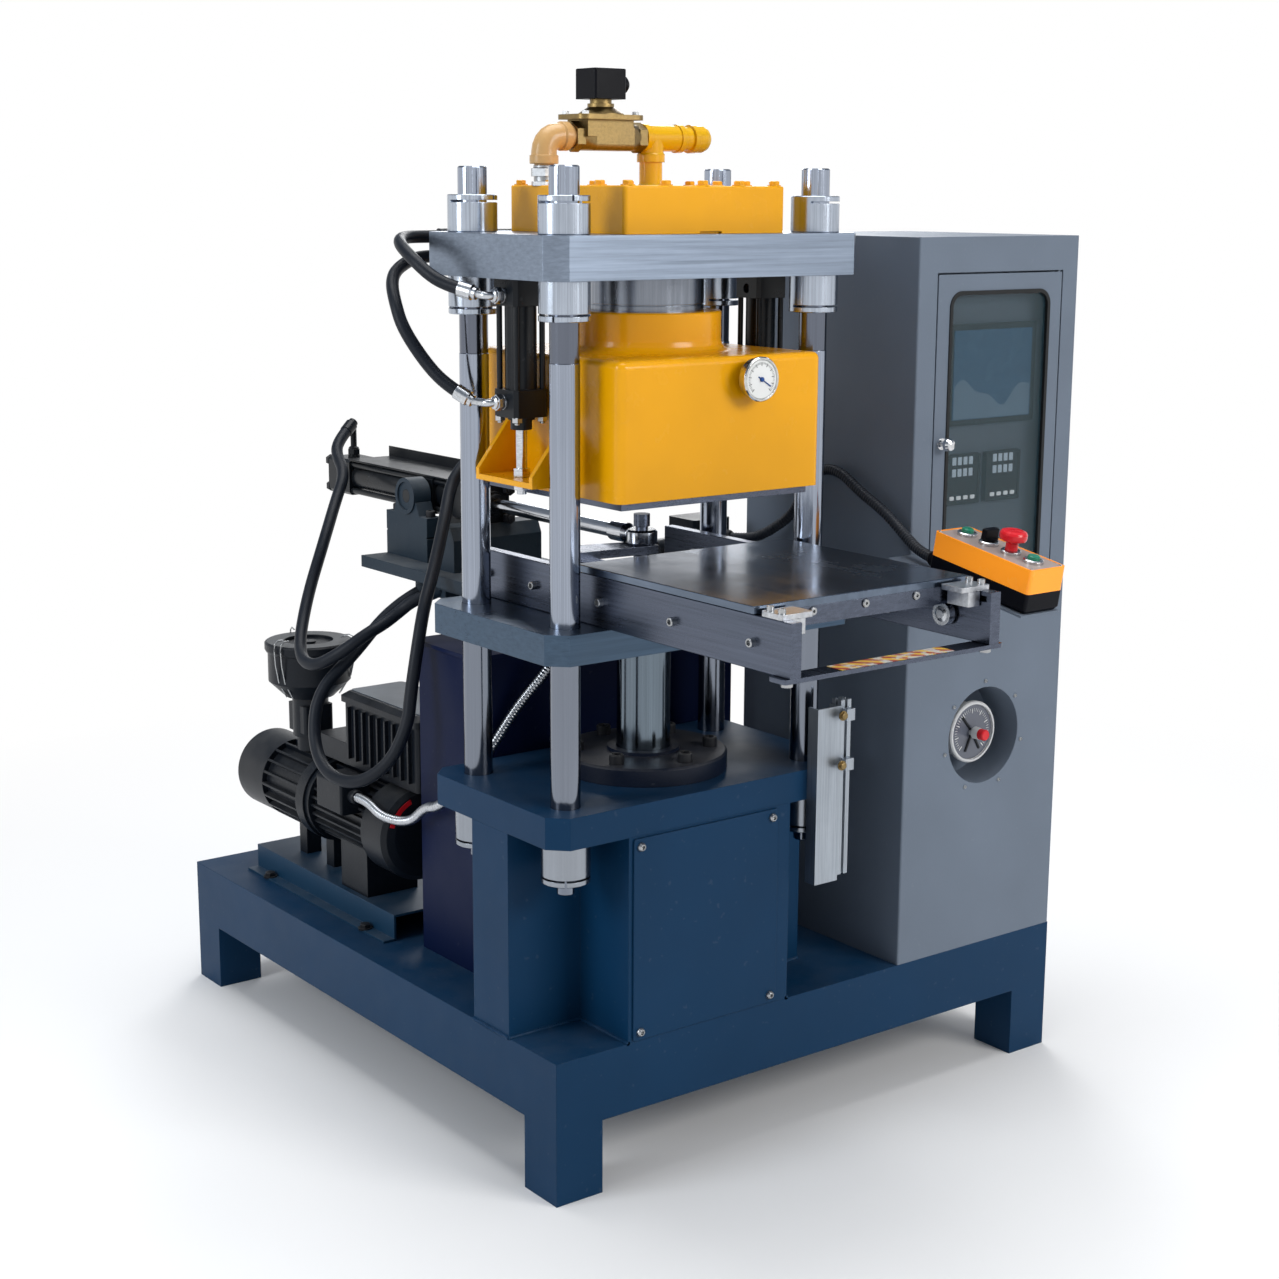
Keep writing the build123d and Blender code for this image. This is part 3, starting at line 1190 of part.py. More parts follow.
def hose_elbows():
    """Steel bends that screw into the left lift cylinder, with the crimped ends of its hoses."""
    out = Vector(-1, 0, 0)
    return Compound([bent_tail(Vector(*port), out, route[-1], route[-2])
                     for port, route in ((upper_port, UPPER_HOSE), (lower_port, LOWER_HOSE))])


nodes = {
    "base_frame": base_frame(),
    "press_tower": press_tower(),
    "tower_cover": tower_cover(),
    "lower_plate": lower_plate(),
    "columns": group(col_places, column),
    "column_nuts": column_nuts(),
    "ram_cylinder": ram_cylinder(),
    "top_plate": top_plate(),
    "top_box": top_box(),
    "vacuum_pipe": vacuum_pipe(),
    "vacuum_valve": vacuum_valve(),
    "valve_coil": valve_coil(),
    "pipe_elbow": pipe_elbow(),
    "upper_barrel": upper_barrel(),
    "upper_heat_plate": upper_heat_plate(),
    "lift_cylinders": lift_cylinders(),
    "hood": hood(),
    "hood_brackets": hood_brackets(),
    "lift_rods": group([(x, plate_cy) for x in lift_x], lift_rod),
    "hood_gauge": hood_gauge(),
    "platen": platen(),
    "ram": ram(),
    "slide_rails": slide_rails(),
    "tie_plate": tie_plate(),
    "rollers": rollers(),
    "cylinder_bracket": cylinder_bracket(),
    "trunnion_blocks": trunnion_blocks(),
    "table_cylinder": table_cylinder(),
    "table_plate": table_plate(),
    "lower_heat_plate": lower_heat_plate(),
    "table_link": table_link(),
    "table_rod": table_rod(),
    "cabinet": cabinet(),
    "contact_gauge": contact_gauge(),
    "instruments": instruments(),
    "door_frame": door_frame(),
    "door_glass": door_glass(),
    "door_knob": door_knob(),
    "control_shelf": control_shelf(),
    "control_box_base": control_box_base(),
    "control_box_top": control_box_top(),
    "button_collars": button_collars(),
    "start_button_rear": push_cap(0),
    "start_button_front": push_cap(3),
    "selector_knob": selector_knob(),
    "stop_button": stop_button(),
    "sensor_rail": sensor_rail(),
    "pump_mount": pump_mount(),
    "pump_body": pump_body(),
    "pump_motor": pump_motor(),
    "pump_filter": pump_filter(),
    "oil_tank": oil_tank(),
    "valve_manifold": valve_manifold(),
}
cords = {
    "hose_elbows": hose_elbows(),
    "upper_hose": tube("upper hose", UPPER_HOSE, HOSE_D),
    "lower_hose": tube("lower hose", LOWER_HOSE, HOSE_D),
    "rear_hose": tube("rear hose", REAR_HOSE, CYL_HOSE_D),
    "front_hose": tube("front hose", FRONT_HOSE, CYL_HOSE_D),
    "box_conduit": tube("box conduit", BOX_CONDUIT, CONDUIT_D),
    "tank_conduit": tube("tank conduit", TANK_CONDUIT, CONDUIT_D - 1),
}

span = Compound(list(nodes.values())).bounding_box()
centre = Pos(-(span.min.X + span.max.X) / 2, -(span.min.Y + span.max.Y) / 2, 0)
for name, shape in (nodes | cords).items():
    export_step(centre * shape, f"parts/{name}.step")
print("shift", centre.position)
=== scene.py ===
import math

import bmesh
import bpy
import numpy as np
from mathutils import Euler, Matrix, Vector


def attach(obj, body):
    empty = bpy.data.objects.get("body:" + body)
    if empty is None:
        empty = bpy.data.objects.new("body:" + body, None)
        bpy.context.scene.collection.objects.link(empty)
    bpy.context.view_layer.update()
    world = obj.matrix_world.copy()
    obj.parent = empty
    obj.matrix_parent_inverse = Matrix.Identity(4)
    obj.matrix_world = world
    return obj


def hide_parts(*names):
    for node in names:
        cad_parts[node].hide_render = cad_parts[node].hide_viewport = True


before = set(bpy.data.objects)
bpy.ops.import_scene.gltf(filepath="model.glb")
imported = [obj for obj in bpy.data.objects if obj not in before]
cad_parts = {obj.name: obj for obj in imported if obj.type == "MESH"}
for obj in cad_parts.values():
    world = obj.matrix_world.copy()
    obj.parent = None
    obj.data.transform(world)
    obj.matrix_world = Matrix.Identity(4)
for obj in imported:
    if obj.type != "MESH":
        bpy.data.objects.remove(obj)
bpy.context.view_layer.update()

# Camera and room
# The camera stands off the machine's front left corner, a little above the table, and looks
# slightly down. Soft lamps and a pale floor that fades to white make a plain studio.
camera_data = bpy.data.cameras.new("camera")
camera_data.lens = 59.55
camera_data.sensor_width = 36.0
camera = bpy.data.objects.new("camera", camera_data)
camera.location = (-2.07666, -2.64501, 1.40440)
look_down, lean, turn_right = 11.954, 0.2878, 37.1427
camera.rotation_euler = Euler([math.radians(a) for a in (90 - look_down, -lean, -turn_right)])
bpy.context.scene.collection.objects.link(camera)
bpy.context.scene.camera = camera
bpy.context.scene.view_settings.view_transform = "Standard"


def lamp(name, place, target, width, height, watts, tint):
    """Soft rectangular lamp at a place, turned so that it shines at its target."""
    data = bpy.data.lights.new(name, "AREA")
    data.shape = "RECTANGLE"
    data.size, data.size_y, data.energy, data.color = width, height, watts, tint
    lamp_object = bpy.data.objects.new(name, data)
    lamp_object.location = place
    lamp_object.rotation_euler = (Vector(target) - Vector(place)).to_track_quat("-Z", "Y").to_euler()
    bpy.context.scene.collection.objects.link(lamp_object)


lamp("front_lamp", (1.4, -4.2, 2.7), (0, 0, 0.7), 2.2, 1.8, 120, (1.0, 0.98, 0.95))
lamp("left_lamp", (-4.2, 0.4, 2.4), (0, 0, 0.8), 1.4, 2.2, 76, (0.92, 0.96, 1.0))
lamp("top_lamp", (0.0, 0.2, 4.2), (0, 0, 0.6), 2.6, 2.6, 95, (1.0, 1.0, 1.0))
lamp("rim_lamp", (2.6, 3.4, 3.0), (0, 0, 0.9), 1.6, 1.6, 60, (1.0, 1.0, 1.0))


def node(tree, kind, feeds=None, **settings):
    """One shader node: feeds gives a value or a link for each input, settings its own options."""
    made = tree.nodes.new("ShaderNode" + kind)
    for key, value in settings.items():
        setattr(made, key, value)
    for key, value in (feeds or {}).items():
        if isinstance(value, bpy.types.NodeSocket):
            tree.links.new(value, made.inputs[key])
        else:
            made.inputs[key].default_value = value
    return made


def ramp(tree, factor, *stops):
    """Colour ramp through (position, colour) stops, read at factor."""
    made = node(tree, "ValToRGB", {"Fac": factor})
    elements = made.color_ramp.elements
    while len(elements) < len(stops):
        elements.new(0.5)
    for element, (position, colour) in zip(elements, stops):
        element.position, element.color = position, (*colour, 1)
    return made.outputs["Color"]


def direct_rays(tree):
    """1 on a ray that shows the background itself, from the camera, off a glossy face or through
    glass: the largest of the three ray masks."""
    rays = node(tree, "LightPath").outputs
    shown = node(tree, "Math", {0: rays["Is Camera Ray"], 1: rays["Is Glossy Ray"]},
                 operation="MAXIMUM").outputs[0]
    return node(tree, "Math", {0: shown, 1: rays["Is Transmission Ray"]}, operation="MAXIMUM").outputs[0]


# The background is white up to a little above the horizon, then darker walls under a bright ceiling.
# Rays from matt faces see one even grey instead, which is the room's soft fill light.
world = bpy.data.worlds.new("studio")
world.use_nodes = True
sky = world.node_tree
height = node(sky, "SeparateXYZ", {0: node(sky, "TexCoord").outputs["Generated"]}).outputs["Z"]
height = node(sky, "MapRange", {"Value": height, "From Min": -1.0, "From Max": 1.0}).outputs["Result"]
walls = ramp(sky, height, (0.0, (1, 1, 1)), (0.57, (1, 1, 1)), (0.66, (0.30, 0.33, 0.38)),
             (0.85, (0.16, 0.19, 0.23)), (1.0, (0.70, 0.74, 0.80)))
fill_light = (0.40, 0.42, 0.45, 1)
seen = node(sky, "Mix", {"Factor": direct_rays(sky), "A": fill_light, "B": walls}, data_type="RGBA")
sky.links.new(seen.outputs["Result"], sky.nodes["Background"].inputs["Color"])
bpy.context.scene.world = world

floor_mesh = bpy.data.meshes.new("floor")
floor_half = 9.0
floor_corners = [(x * floor_half, y * floor_half, 0) for x, y in ((-1, -1), (1, -1), (1, 1), (-1, 1))]
floor_mesh.from_pydata(floor_corners, [], [(0, 1, 2, 3)])
floor = bpy.data.objects.new("floor", floor_mesh)
bpy.context.scene.collection.objects.link(floor)
floor_paint = bpy.data.materials.new("floor")
floor_paint.use_nodes = True
ground = floor_paint.node_tree
reach = node(ground, "VectorMath", {0: node(ground, "TexCoord").outputs["Object"]}, operation="LENGTH")
shadow_kept, all_white = 0.9, 2.6
fade = node(ground, "MapRange",
            {"Value": reach.outputs["Value"], "From Min": shadow_kept, "From Max": all_white})
fade = node(ground, "Math", {0: fade.outputs["Result"], 1: direct_rays(ground)}, operation="MULTIPLY")
matt = ground.nodes["Principled BSDF"]
matt.inputs["Base Color"].default_value = (0.86, 0.86, 0.86, 1)
matt.inputs["Roughness"].default_value = 0.75
white = node(ground, "Emission", {"Color": (1, 1, 1, 1), "Strength": 1.0})
blend = node(ground, "MixShader", {0: fade.outputs[0], 1: matt.outputs[0], 2: white.outputs[0]})
ground.links.new(blend.outputs[0], ground.nodes["Material Output"].inputs["Surface"])
floor_mesh.materials.append(floor_paint)

# Welded base, tower and lower plate
# A deck of bent plate on four square legs carries a cross-shaped tower and the thick lower
# plate. All of it is sprayed dark blue over the welds, with a little dust on the upper faces.


def group(name, feeds, gives):
    """Empty node group with named inputs, each with its value, and named outputs."""
    tree = bpy.data.node_groups.new(name, "ShaderNodeTree")
    for label, value in feeds:
        kind = "NodeSocketColor" if isinstance(value, tuple) else "NodeSocketFloat"
        tree.interface.new_socket(label, in_out="INPUT", socket_type=kind).default_value = value
    for label, kind in gives:
        tree.interface.new_socket(label, in_out="OUTPUT", socket_type="NodeSocket" + kind)
    return tree, tree.nodes.new("NodeGroupInput").outputs


def group_out(tree, **results):
    """Closes a node group: one socket for each named output."""
    last = tree.nodes.new("NodeGroupOutput")
    for label, socket in results.items():
        tree.links.new(socket, last.inputs[label.replace("_", " ")])


def spread(tree, scale, detail=3.0, rough=0.5):
    """Noise on Object coordinates, with its scale per metre."""
    where = node(tree, "TexCoord").outputs["Object"]
    return node(tree, "TexNoise",
                {"Vector": where, "Scale": scale, "Detail": detail, "Roughness": rough}).outputs["Fac"]


# Spray paint: slow changes of shade, fine orange peel, small chips, and dust on faces that look up
dust_colour, chip_colour = (0.32, 0.31, 0.29, 1), (0.30, 0.32, 0.33, 1)
paint_skin, given = group("paint_skin",
                          [("Colour", (0.1, 0.1, 0.1, 1)), ("Dust", 0.2), ("Gloss", 0.3), ("Wear", 0.3)],
                          [("Colour", "Color"), ("Roughness", "Float"), ("Height", "Float")])
shade = node(paint_skin, "MapRange",
             {"Value": spread(paint_skin, 5.0), "To Min": 0.84, "To Max": 1.18}).outputs[0]
tint = node(paint_skin, "VectorMath", {0: given["Colour"], "Scale": shade}, operation="SCALE").outputs[0]
up = node(paint_skin, "SeparateXYZ", {0: node(paint_skin, "NewGeometry").outputs["Normal"]}).outputs["Z"]
patches = node(paint_skin, "MapRange",
               {"Value": spread(paint_skin, 14.0, 6.0, 0.65), "From Min": 0.35, "From Max": 0.75})
dusty = node(paint_skin, "Math", {0: up, 1: patches.outputs[0]}, operation="MULTIPLY",
             use_clamp=True).outputs[0]
dusty = node(paint_skin, "Math", {0: dusty, 1: given["Dust"]}, operation="MULTIPLY",
             use_clamp=True).outputs[0]
soiled = node(paint_skin, "Mix", {"Factor": dusty, "A": tint, "B": dust_colour},
              data_type="RGBA").outputs["Result"]
specks = node(paint_skin, "MapRange",
              {"Value": spread(paint_skin, 90.0, 2.0), "From Min": 0.70, "From Max": 0.74}).outputs[0]
specks = node(paint_skin, "Math", {0: specks, 1: given["Wear"]}, operation="MULTIPLY").outputs[0]
marked = node(paint_skin, "Mix", {"Factor": specks, "A": soiled, "B": chip_colour}, data_type="RGBA")
matting = node(paint_skin, "MapRange",
               {"Value": spread(paint_skin, 22.0, 5.0), "To Min": -0.07, "To Max": 0.1}).outputs[0]
matting = node(paint_skin, "Math", {0: matting, 1: dusty}, operation="ADD").outputs[0]
matting = node(paint_skin, "Math", {0: matting, 1: given["Gloss"]}, operation="ADD",
               use_clamp=True).outputs[0]
group_out(paint_skin, Colour=marked.outputs["Result"], Roughness=matting,
          Height=spread(paint_skin, 420.0, 1.0))


def skinned(name, tree_group, feeds, bump, edge, **fixed):
    """Material from a surface group: its bump rides on edges rounded by a bevel of the given size."""
    material = bpy.data.materials.new(name)
    material.use_nodes = True
    tree = material.node_tree
    skin = tree.nodes.new("ShaderNodeGroup")
    skin.node_tree = tree_group
    for label, value in feeds.items():
        skin.inputs[label].default_value = value
    body = tree.nodes["Principled BSDF"]
    for label, value in fixed.items():
        body.inputs[label.replace("_", " ")].default_value = value
    tree.links.new(skin.outputs["Colour"], body.inputs["Base Color"])
    tree.links.new(skin.outputs["Roughness"], body.inputs["Roughness"])
    round_edge = node(tree, "Bevel", {"Radius": edge}, samples=4)
    relief = node(tree, "Bump", {"Height": skin.outputs["Height"], "Distance": bump, "Strength": 1.0,
                                 "Normal": round_edge.outputs[0]})
    tree.links.new(relief.outputs[0], body.inputs["Normal"])
    return material


def painted(name, colour, gloss, dust, wear=0.05, bump=0.00006, edge=0.0015, **fixed):
    """Sprayed or moulded surface: the paint skin with its own colour, gloss, dust, chips and peel height."""
    fixed.setdefault("Specular_IOR_Level", 0.22)
    return skinned(name, paint_skin, {"Colour": (*colour, 1), "Gloss": gloss, "Dust": dust, "Wear": wear},
                   bump, edge, **fixed)


def dress(material, *names):
    """Gives CAD nodes their material."""
    for name in names:
        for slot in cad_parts[name].material_slots:
            slot.material = material


blue = painted("dark_blue_paint", (0.003, 0.030, 0.078), 0.40, 0.06, Specular_IOR_Level=0.12)
dress(blue, "base_frame", "press_tower", "lower_plate", "tower_cover")

corner_x, corner_y = 500.0, 381.75
upward, forward = (0, 0, 1), (0, -1, 0)


def spot(x, y, z):
    """Point of the machine, measured in mm from the base's front left corner, in metres."""
    return np.array([(x - corner_x) / 1000, (y - corner_y) / 1000, z / 1000])


def rings(points):
    """Quads over a (rows, columns) grid of points whose columns close into rings."""
    rows, columns = points.shape[:2]
    first = np.arange(rows - 1)[:, None] * columns + np.arange(columns)[None]
    right = np.arange(rows - 1)[:, None] * columns + (np.arange(columns)[None] + 1) % columns
    quads = np.stack([first, right, right + columns, first + columns], -1).reshape(-1, 4)
    return points.reshape(-1, 3), quads


def turned(stations, base, axis, sides=24):
    """Profile of (height, radius, hexagon) stations in mm turned about an axis. A hexagon value of 1
    makes that ring six-sided, by the radius over the cosine of the angle from the nearest flat."""
    axis = np.array(axis, float) / np.linalg.norm(axis)
    side = np.cross(axis, [0.0, 0.0, 1.0] if abs(axis[2]) < 0.9 else [1.0, 0.0, 0.0])
    side /= np.linalg.norm(side)
    other = np.cross(axis, side)
    angle = np.arange(sides) * 2 * np.pi / sides
    flat = 1 / np.cos((angle + np.pi / 6) % (np.pi / 3) - np.pi / 6)
    rows = np.array([(s[0], s[1], s[2] if len(s) > 2 else 0) for s in stations], float)
    reach = rows[:, 1:2] * (1 + rows[:, 2:3] * (flat[None] - 1)) / 1000
    circle = np.cos(angle)[:, None] * side + np.sin(angle)[:, None] * other
    return rings(np.asarray(base) + rows[:, 0, None, None] / 1000 * axis + reach[:, :, None] * circle)


def piece(name, parts, material, body):
    """One object from several (points, quads) parts, with doubles merged and faces turned outwards."""
    points, quads, count = [], [], 0
    for part_points, part_quads in parts:
        points.append(part_points)
        quads.append(part_quads + count)
        count += len(part_points)
    mesh = bpy.data.meshes.new(name)
    mesh.from_pydata(np.concatenate(points).tolist(), [], np.concatenate(quads).tolist())
    work = bmesh.new()
    work.from_mesh(mesh)
    bmesh.ops.remove_doubles(work, verts=work.verts, dist=1e-6)
    bmesh.ops.recalc_face_normals(work, faces=work.faces)
    work.to_mesh(mesh)
    work.free()
    mesh.shade_smooth()
    mesh.set_sharp_from_angle(angle=math.radians(35))
    mesh.materials.append(material)
    made = bpy.data.objects.new(name, mesh)
    bpy.context.scene.collection.objects.link(made)
    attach(made, body)
    return made


def pan_screw(base, axis, r):
    """Domed screw head, 0.9 radii high, with a hexagon socket."""
    return turned([(-1, 0), (-1, r), (0.3 * r, r), (0.7 * r, 0.86 * r), (0.9 * r, 0.6 * r),
                   (0.9 * r, 0.45 * r, 1), (0.3 * r, 0.42 * r, 1), (0.25 * r, 0)], base, axis)


def cap_screw(base, axis, r):
    """Cylindrical screw head, 1.3 radii high, with a hexagon socket down to half a radius."""
    return turned([(-1, 0), (-1, r), (1.15 * r, r), (1.3 * r, 0.88 * r), (1.3 * r, 0.6 * r, 1),
                   (0.5 * r, 0.55 * r, 1), (0.45 * r, 0)], base, axis)


def hex_bolt(base, axis, r, washer=True):
    """Hexagon head crowned at its top, on a washer of one and a half radii or straight on its seat."""
    seat = [(-1, 0), (-1, r, 1)]
    if washer:
        seat = [(-1, 0), (-1, 1.5 * r), (0.25 * r, 1.5 * r), (0.25 * r, 1.02 * r, 1)]
    return turned(seat + [(0.95 * r, 1.02 * r, 1), (1.1 * r, 0.9 * r), (1.12 * r, 0)], base, axis)


zinc = painted("zinc_screws", (0.42, 0.43, 0.44), 0.30, 0.1, wear=0.0, bump=0.00001, edge=0.0004,
               Metallic=1.0)
cover_face, cover_x, cover_z = -3, (144, 386), (230, 506)
piece("cover_screws", [pan_screw(spot(x, cover_face, z), forward, 6.5) for x in cover_x for z in cover_z],
      zinc, "frame")


def weld_bead(corners, r):
    """Weld bead along a line of corners: a tube whose radius is r times one plus two sines of the
    run, a fine ripple every 4 mm and a slow swell every 17 mm."""
    ripple, swelling = 1.6, 0.37
    parts = []
    for a, b in zip(corners, corners[1:]):
        a, b = np.array(a), np.array(b)
        steps = np.arange(0, np.linalg.norm(b - a) * 1000 + 2, 2.0)
        swell = r * (1 + 0.16 * np.sin(steps * ripple) + 0.1 * np.sin(steps * swelling))
        stations = [(steps[0], 0)] + list(zip(steps, swell)) + [(steps[-1], 0)]
        parts.append(turned(stations, a, b - a, sides=8))
    return parts


# The tower's foot is a cross: a rectangle with its four corners notched out
wide, deep, notch_x, notch_y = 548, 328, 125.0, 118.0
right, rear = wide - notch_x, deep - notch_y
weld_z, weld_r = 215.5, 3.4
foot = [(notch_x, 0), (notch_x, notch_y), (0, notch_y), (0, rear), (notch_x, rear), (notch_x, deep),
        (right, deep), (right, rear), (wide, rear), (wide, notch_y), (right, notch_y), (right, 0)]
piece("tower_weld", weld_bead([spot(x, y, weld_z) for x, y in foot], weld_r), blue, "frame")

# Columns and clamp nuts
# Four hard-chromed columns with a darker threaded stretch under the top plate, long upright streaks
# of painted reflection and a band of painted shade lower down. Each round nut is turned from bright
# steel, slotted, and pinched by one socket screw.


# Bare steel: tool marks drawn out along one way, soft stains, and gloss that follows both. On the columns and
# the ram the long upright streaks are painted reflections.
oil_stain = (0.10, 0.13, 0.17, 1)
bright_skin, given = group("bright_skin",
                           [("Colour", (0.6, 0.6, 0.6, 1)), ("Grain", 0.1), ("Gloss", 0.2), ("Stain", 0.3),
                            ("Along X", 1.0), ("Along Y", 1.0), ("Along Z", 1.0)],
                           [("Colour", "Color"), ("Roughness", "Float"), ("Height", "Float")])
pull = node(bright_skin, "CombineXYZ",
            {"X": given["Along X"], "Y": given["Along Y"], "Z": given["Along Z"]}).outputs[0]
where = node(bright_skin, "VectorMath", {0: node(bright_skin, "TexCoord").outputs["Object"], 1: pull},
             operation="MULTIPLY")
lines = node(bright_skin, "TexNoise",
             {"Vector": where.outputs[0], "Scale": 1.0, "Detail": 5.0, "Roughness": 0.7}).outputs["Fac"]
cloud = node(bright_skin, "MapRange",
             {"Value": spread(bright_skin, 7.0, 5.0, 0.6), "From Min": 0.3, "From Max": 0.75}).outputs[0]
stain = node(bright_skin, "Math", {0: cloud, 1: given["Stain"]}, operation="MULTIPLY").outputs[0]
dark = node(bright_skin, "MapRange",
            {"Value": lines, "From Min": 0.3, "From Max": 0.7, "To Min": 0.72, "To Max": 1.12}).outputs[0]
tint = node(bright_skin, "VectorMath", {0: given["Colour"], "Scale": dark}, operation="SCALE").outputs[0]
mottled = node(bright_skin, "Mix", {"Factor": stain, "A": tint, "B": oil_stain}, data_type="RGBA")
rough = node(bright_skin, "Math", {0: lines, 1: given["Grain"], 2: given["Gloss"]},
             operation="MULTIPLY_ADD").outputs[0]
rough = node(bright_skin, "Math", {0: stain, 1: 0.25, 2: rough}, operation="MULTIPLY_ADD",
             use_clamp=True).outputs[0]
group_out(bright_skin, Colour=mottled.outputs["Result"], Roughness=rough, Height=lines)


def steel(name, colour, gloss, grain, stain, along, bump=0.00003, edge=0.001, **fixed):
    """Machined steel: along gives the fineness of the tool marks on x, y and z, per metre; on the columns and
    ram these streaks are painted reflections.
    """
    feeds = {"Colour": (*colour, 1), "Gloss": gloss, "Grain": grain, "Stain": stain,
             "Along X": along[0], "Along Y": along[1], "Along Z": along[2]}
    return skinned(name, bright_skin, feeds, bump, edge, Metallic=1.0, **fixed)


def zoned(material, low, high, colour, cover=0.8):
    """Mixes a colour into a material between two heights in metres: a blackened thread, or painted shade on a
    low stretch.
    """
    tree = material.node_tree
    body = tree.nodes["Principled BSDF"]
    z = node(tree, "SeparateXYZ", {0: node(tree, "TexCoord").outputs["Object"]}).outputs["Z"]
    above = node(tree, "Math", {0: z, 1: low}, operation="GREATER_THAN").outputs[0]
    below = node(tree, "Math", {0: z, 1: high}, operation="LESS_THAN").outputs[0]
    zone = node(tree, "Math", {0: above, 1: below}, operation="MULTIPLY").outputs[0]
    zone = node(tree, "Math", {0: zone, 1: cover}, operation="MULTIPLY").outputs[0]
    old = body.inputs["Base Color"].links[0].from_socket
    mixed = node(tree, "Mix", {"Factor": zone, "A": old, "B": (*colour, 1)},
                 data_type="RGBA").outputs["Result"]
    tree.links.new(mixed, body.inputs["Base Color"])
    return material


# The columns' long upright streaks are painted reflections. The threaded stretch is really darker; the darker
# band from 0.4 m to 0.782 m is painted shade.
chrome = steel("chromed_column", (0.36, 0.40, 0.48), 0.05, 0.16, 0.12, (380, 380, 1.5), bump=0.00001)
threads, column_painted_shade, nut_painted_shade_zone = (1.180, 1.2895), (0.4, 0.782), (0.4, 0.66)
dress(zoned(zoned(chrome, *threads, (0.10, 0.11, 0.14)), *column_painted_shade, (0.17, 0.19, 0.23)), "columns")
nut_steel = steel("turned_nut", (0.46, 0.51, 0.59), 0.10, 0.20, 0.20, (300, 300, 3), edge=0.0012,
                  bump=0.00001)
# The nuts between 0.4 m and 0.66 m are the same steel, darkened with painted shade.
dress(zoned(nut_steel, *nut_painted_shade_zone, (0.26, 0.28, 0.31)), "column_nuts")
black_oxide = painted("black_screws", (0.012, 0.013, 0.016), 0.38, 0.25, wear=0.0, bump=0.00002, edge=0.0006)

# Ram and its cylinder
# The cylinder's wide flange sits on the lower plate under six big socket screws. The ram is
# ground and chromed, and a split ring in its neck ties it to the platen.
flange_paint = painted("black_blue_casting", (0.004, 0.008, 0.020), 0.36, 0.25, bump=0.0002)
dress(flange_paint, "ram_cylinder")
# The long upright streaks in the ram's colour are painted reflections.
dress(steel("ram_chrome", (0.16, 0.20, 0.24), 0.05, 0.16, 0.15, (300, 300, 1.5), bump=0.00001), "ram")
press_x, press_y = 274, 164
flange_top, bolt_circle = 594, 100
heads = []
for i in range(6):
    turn = math.radians(30 + 60 * i)
    heads.append(cap_screw(spot(press_x + bolt_circle * math.cos(turn),
                                press_y + bolt_circle * math.sin(turn), flange_top), upward, 11))
piece("ram_flange_screws", heads, black_oxide, "frame")
ring_z, ring_face, ring_screw_x = 772, press_y - 9, 52
piece("ram_ring_screws",
      [cap_screw(spot(press_x + x, ring_face, ring_z), forward, 4.5) for x in (-ring_screw_x, ring_screw_x)],
      black_oxide, "platen")

# Ground plates, barrel and heating plates
# The top plate, platen and rails are cut from thick plate and surface ground, so long straight
# tool marks run along them, with bluish stains and rub marks.
ground_plate = steel("ground_plate", (0.25, 0.30, 0.38), 0.20, 0.22, 0.22, (4, 70, 200), edge=0.0015)
dress(ground_plate, "top_plate")
dress(steel("dark_ground_plate", (0.065, 0.105, 0.16), 0.18, 0.22, 0.25, (4, 70, 200), edge=0.0015), "platen")
ground_bar = steel("ground_bar", (0.115, 0.130, 0.175), 0.14, 0.20, 0.35, (90, 4, 240), edge=0.001)
dress(ground_bar, "slide_rails", "tie_plate", "lower_heat_plate", "upper_heat_plate")
dress(steel("turned_barrel", (0.25, 0.27, 0.31), 0.10, 0.2, 0.30, (120, 120, 3), bump=0.00001),
      "upper_barrel")

# Yellow box and pipework on the top plate
# The box is welded sheet, sprayed amber yellow and bolted down. Malleable iron tee and cap are
# sprayed with it. The elbow has a paler coat, and the valve is cast brass with a moulded coil.
yellow = painted("amber_paint", (0.80, 0.36, 0.0), 0.24, 0.04, wear=0.02, bump=0.00006, edge=0.002,
                 Coat_Weight=0.22, Coat_Roughness=0.08)
dress(yellow, "top_box", "hood", "hood_brackets")
dress(painted("pipe_yellow", (0.70, 0.39, 0.0), 0.24, 0.04, wear=0.02, bump=0.00015, edge=0.002,
              Coat_Weight=0.3), "vacuum_pipe")
brass = steel("cast_brass", (0.26, 0.18, 0.070), 0.26, 0.22, 0.12, (260, 260, 260), bump=0.0003, edge=0.0008)
dress(brass, "vacuum_valve")
moulding = painted("black_moulding", (0.001, 0.0015, 0.004), 0.42, 0.0, Specular_IOR_Level=0.12, wear=0.0,
                   bump=0.00008, edge=0.0012)
dress(moulding, "valve_coil")


def carried(points, radii, sides=24, lean=(0.31, 0.93, 0.17), smooth=1):
    """Round section carried along a path: each ring lies square to the path, with its own radius.
    The path's direction is its gradient, averaged over as many steps as smooth says, and lean is a
    direction that the path never takes, from which the rings are turned."""
    points, radii = np.array(points), np.broadcast_to(radii, len(points))
    ahead = np.gradient(points, axis=0)
    if smooth > 1:
        kernel = np.ones(smooth) / smooth
        ahead = np.stack([np.convolve(np.pad(ahead[:, k], smooth // 2, mode="edge"), kernel, "valid")
                          for k in range(3)], -1)
    ahead /= np.linalg.norm(ahead, axis=1)[:, None]
    side = np.cross(ahead, lean)
    side /= np.linalg.norm(side, axis=1)[:, None]
    other = np.cross(ahead, side)
    angle = np.arange(sides) * 2 * np.pi / sides
    circle = np.cos(angle)[None, :, None] * side[:, None] + np.sin(angle)[None, :, None] * other[:, None]
    grid = points[:, None] + radii[:, None, None] * circle
    return rings(np.concatenate([np.repeat(points[:1, None], sides, 1), grid,
                                 np.repeat(points[-1:, None], sides, 1)], 0))


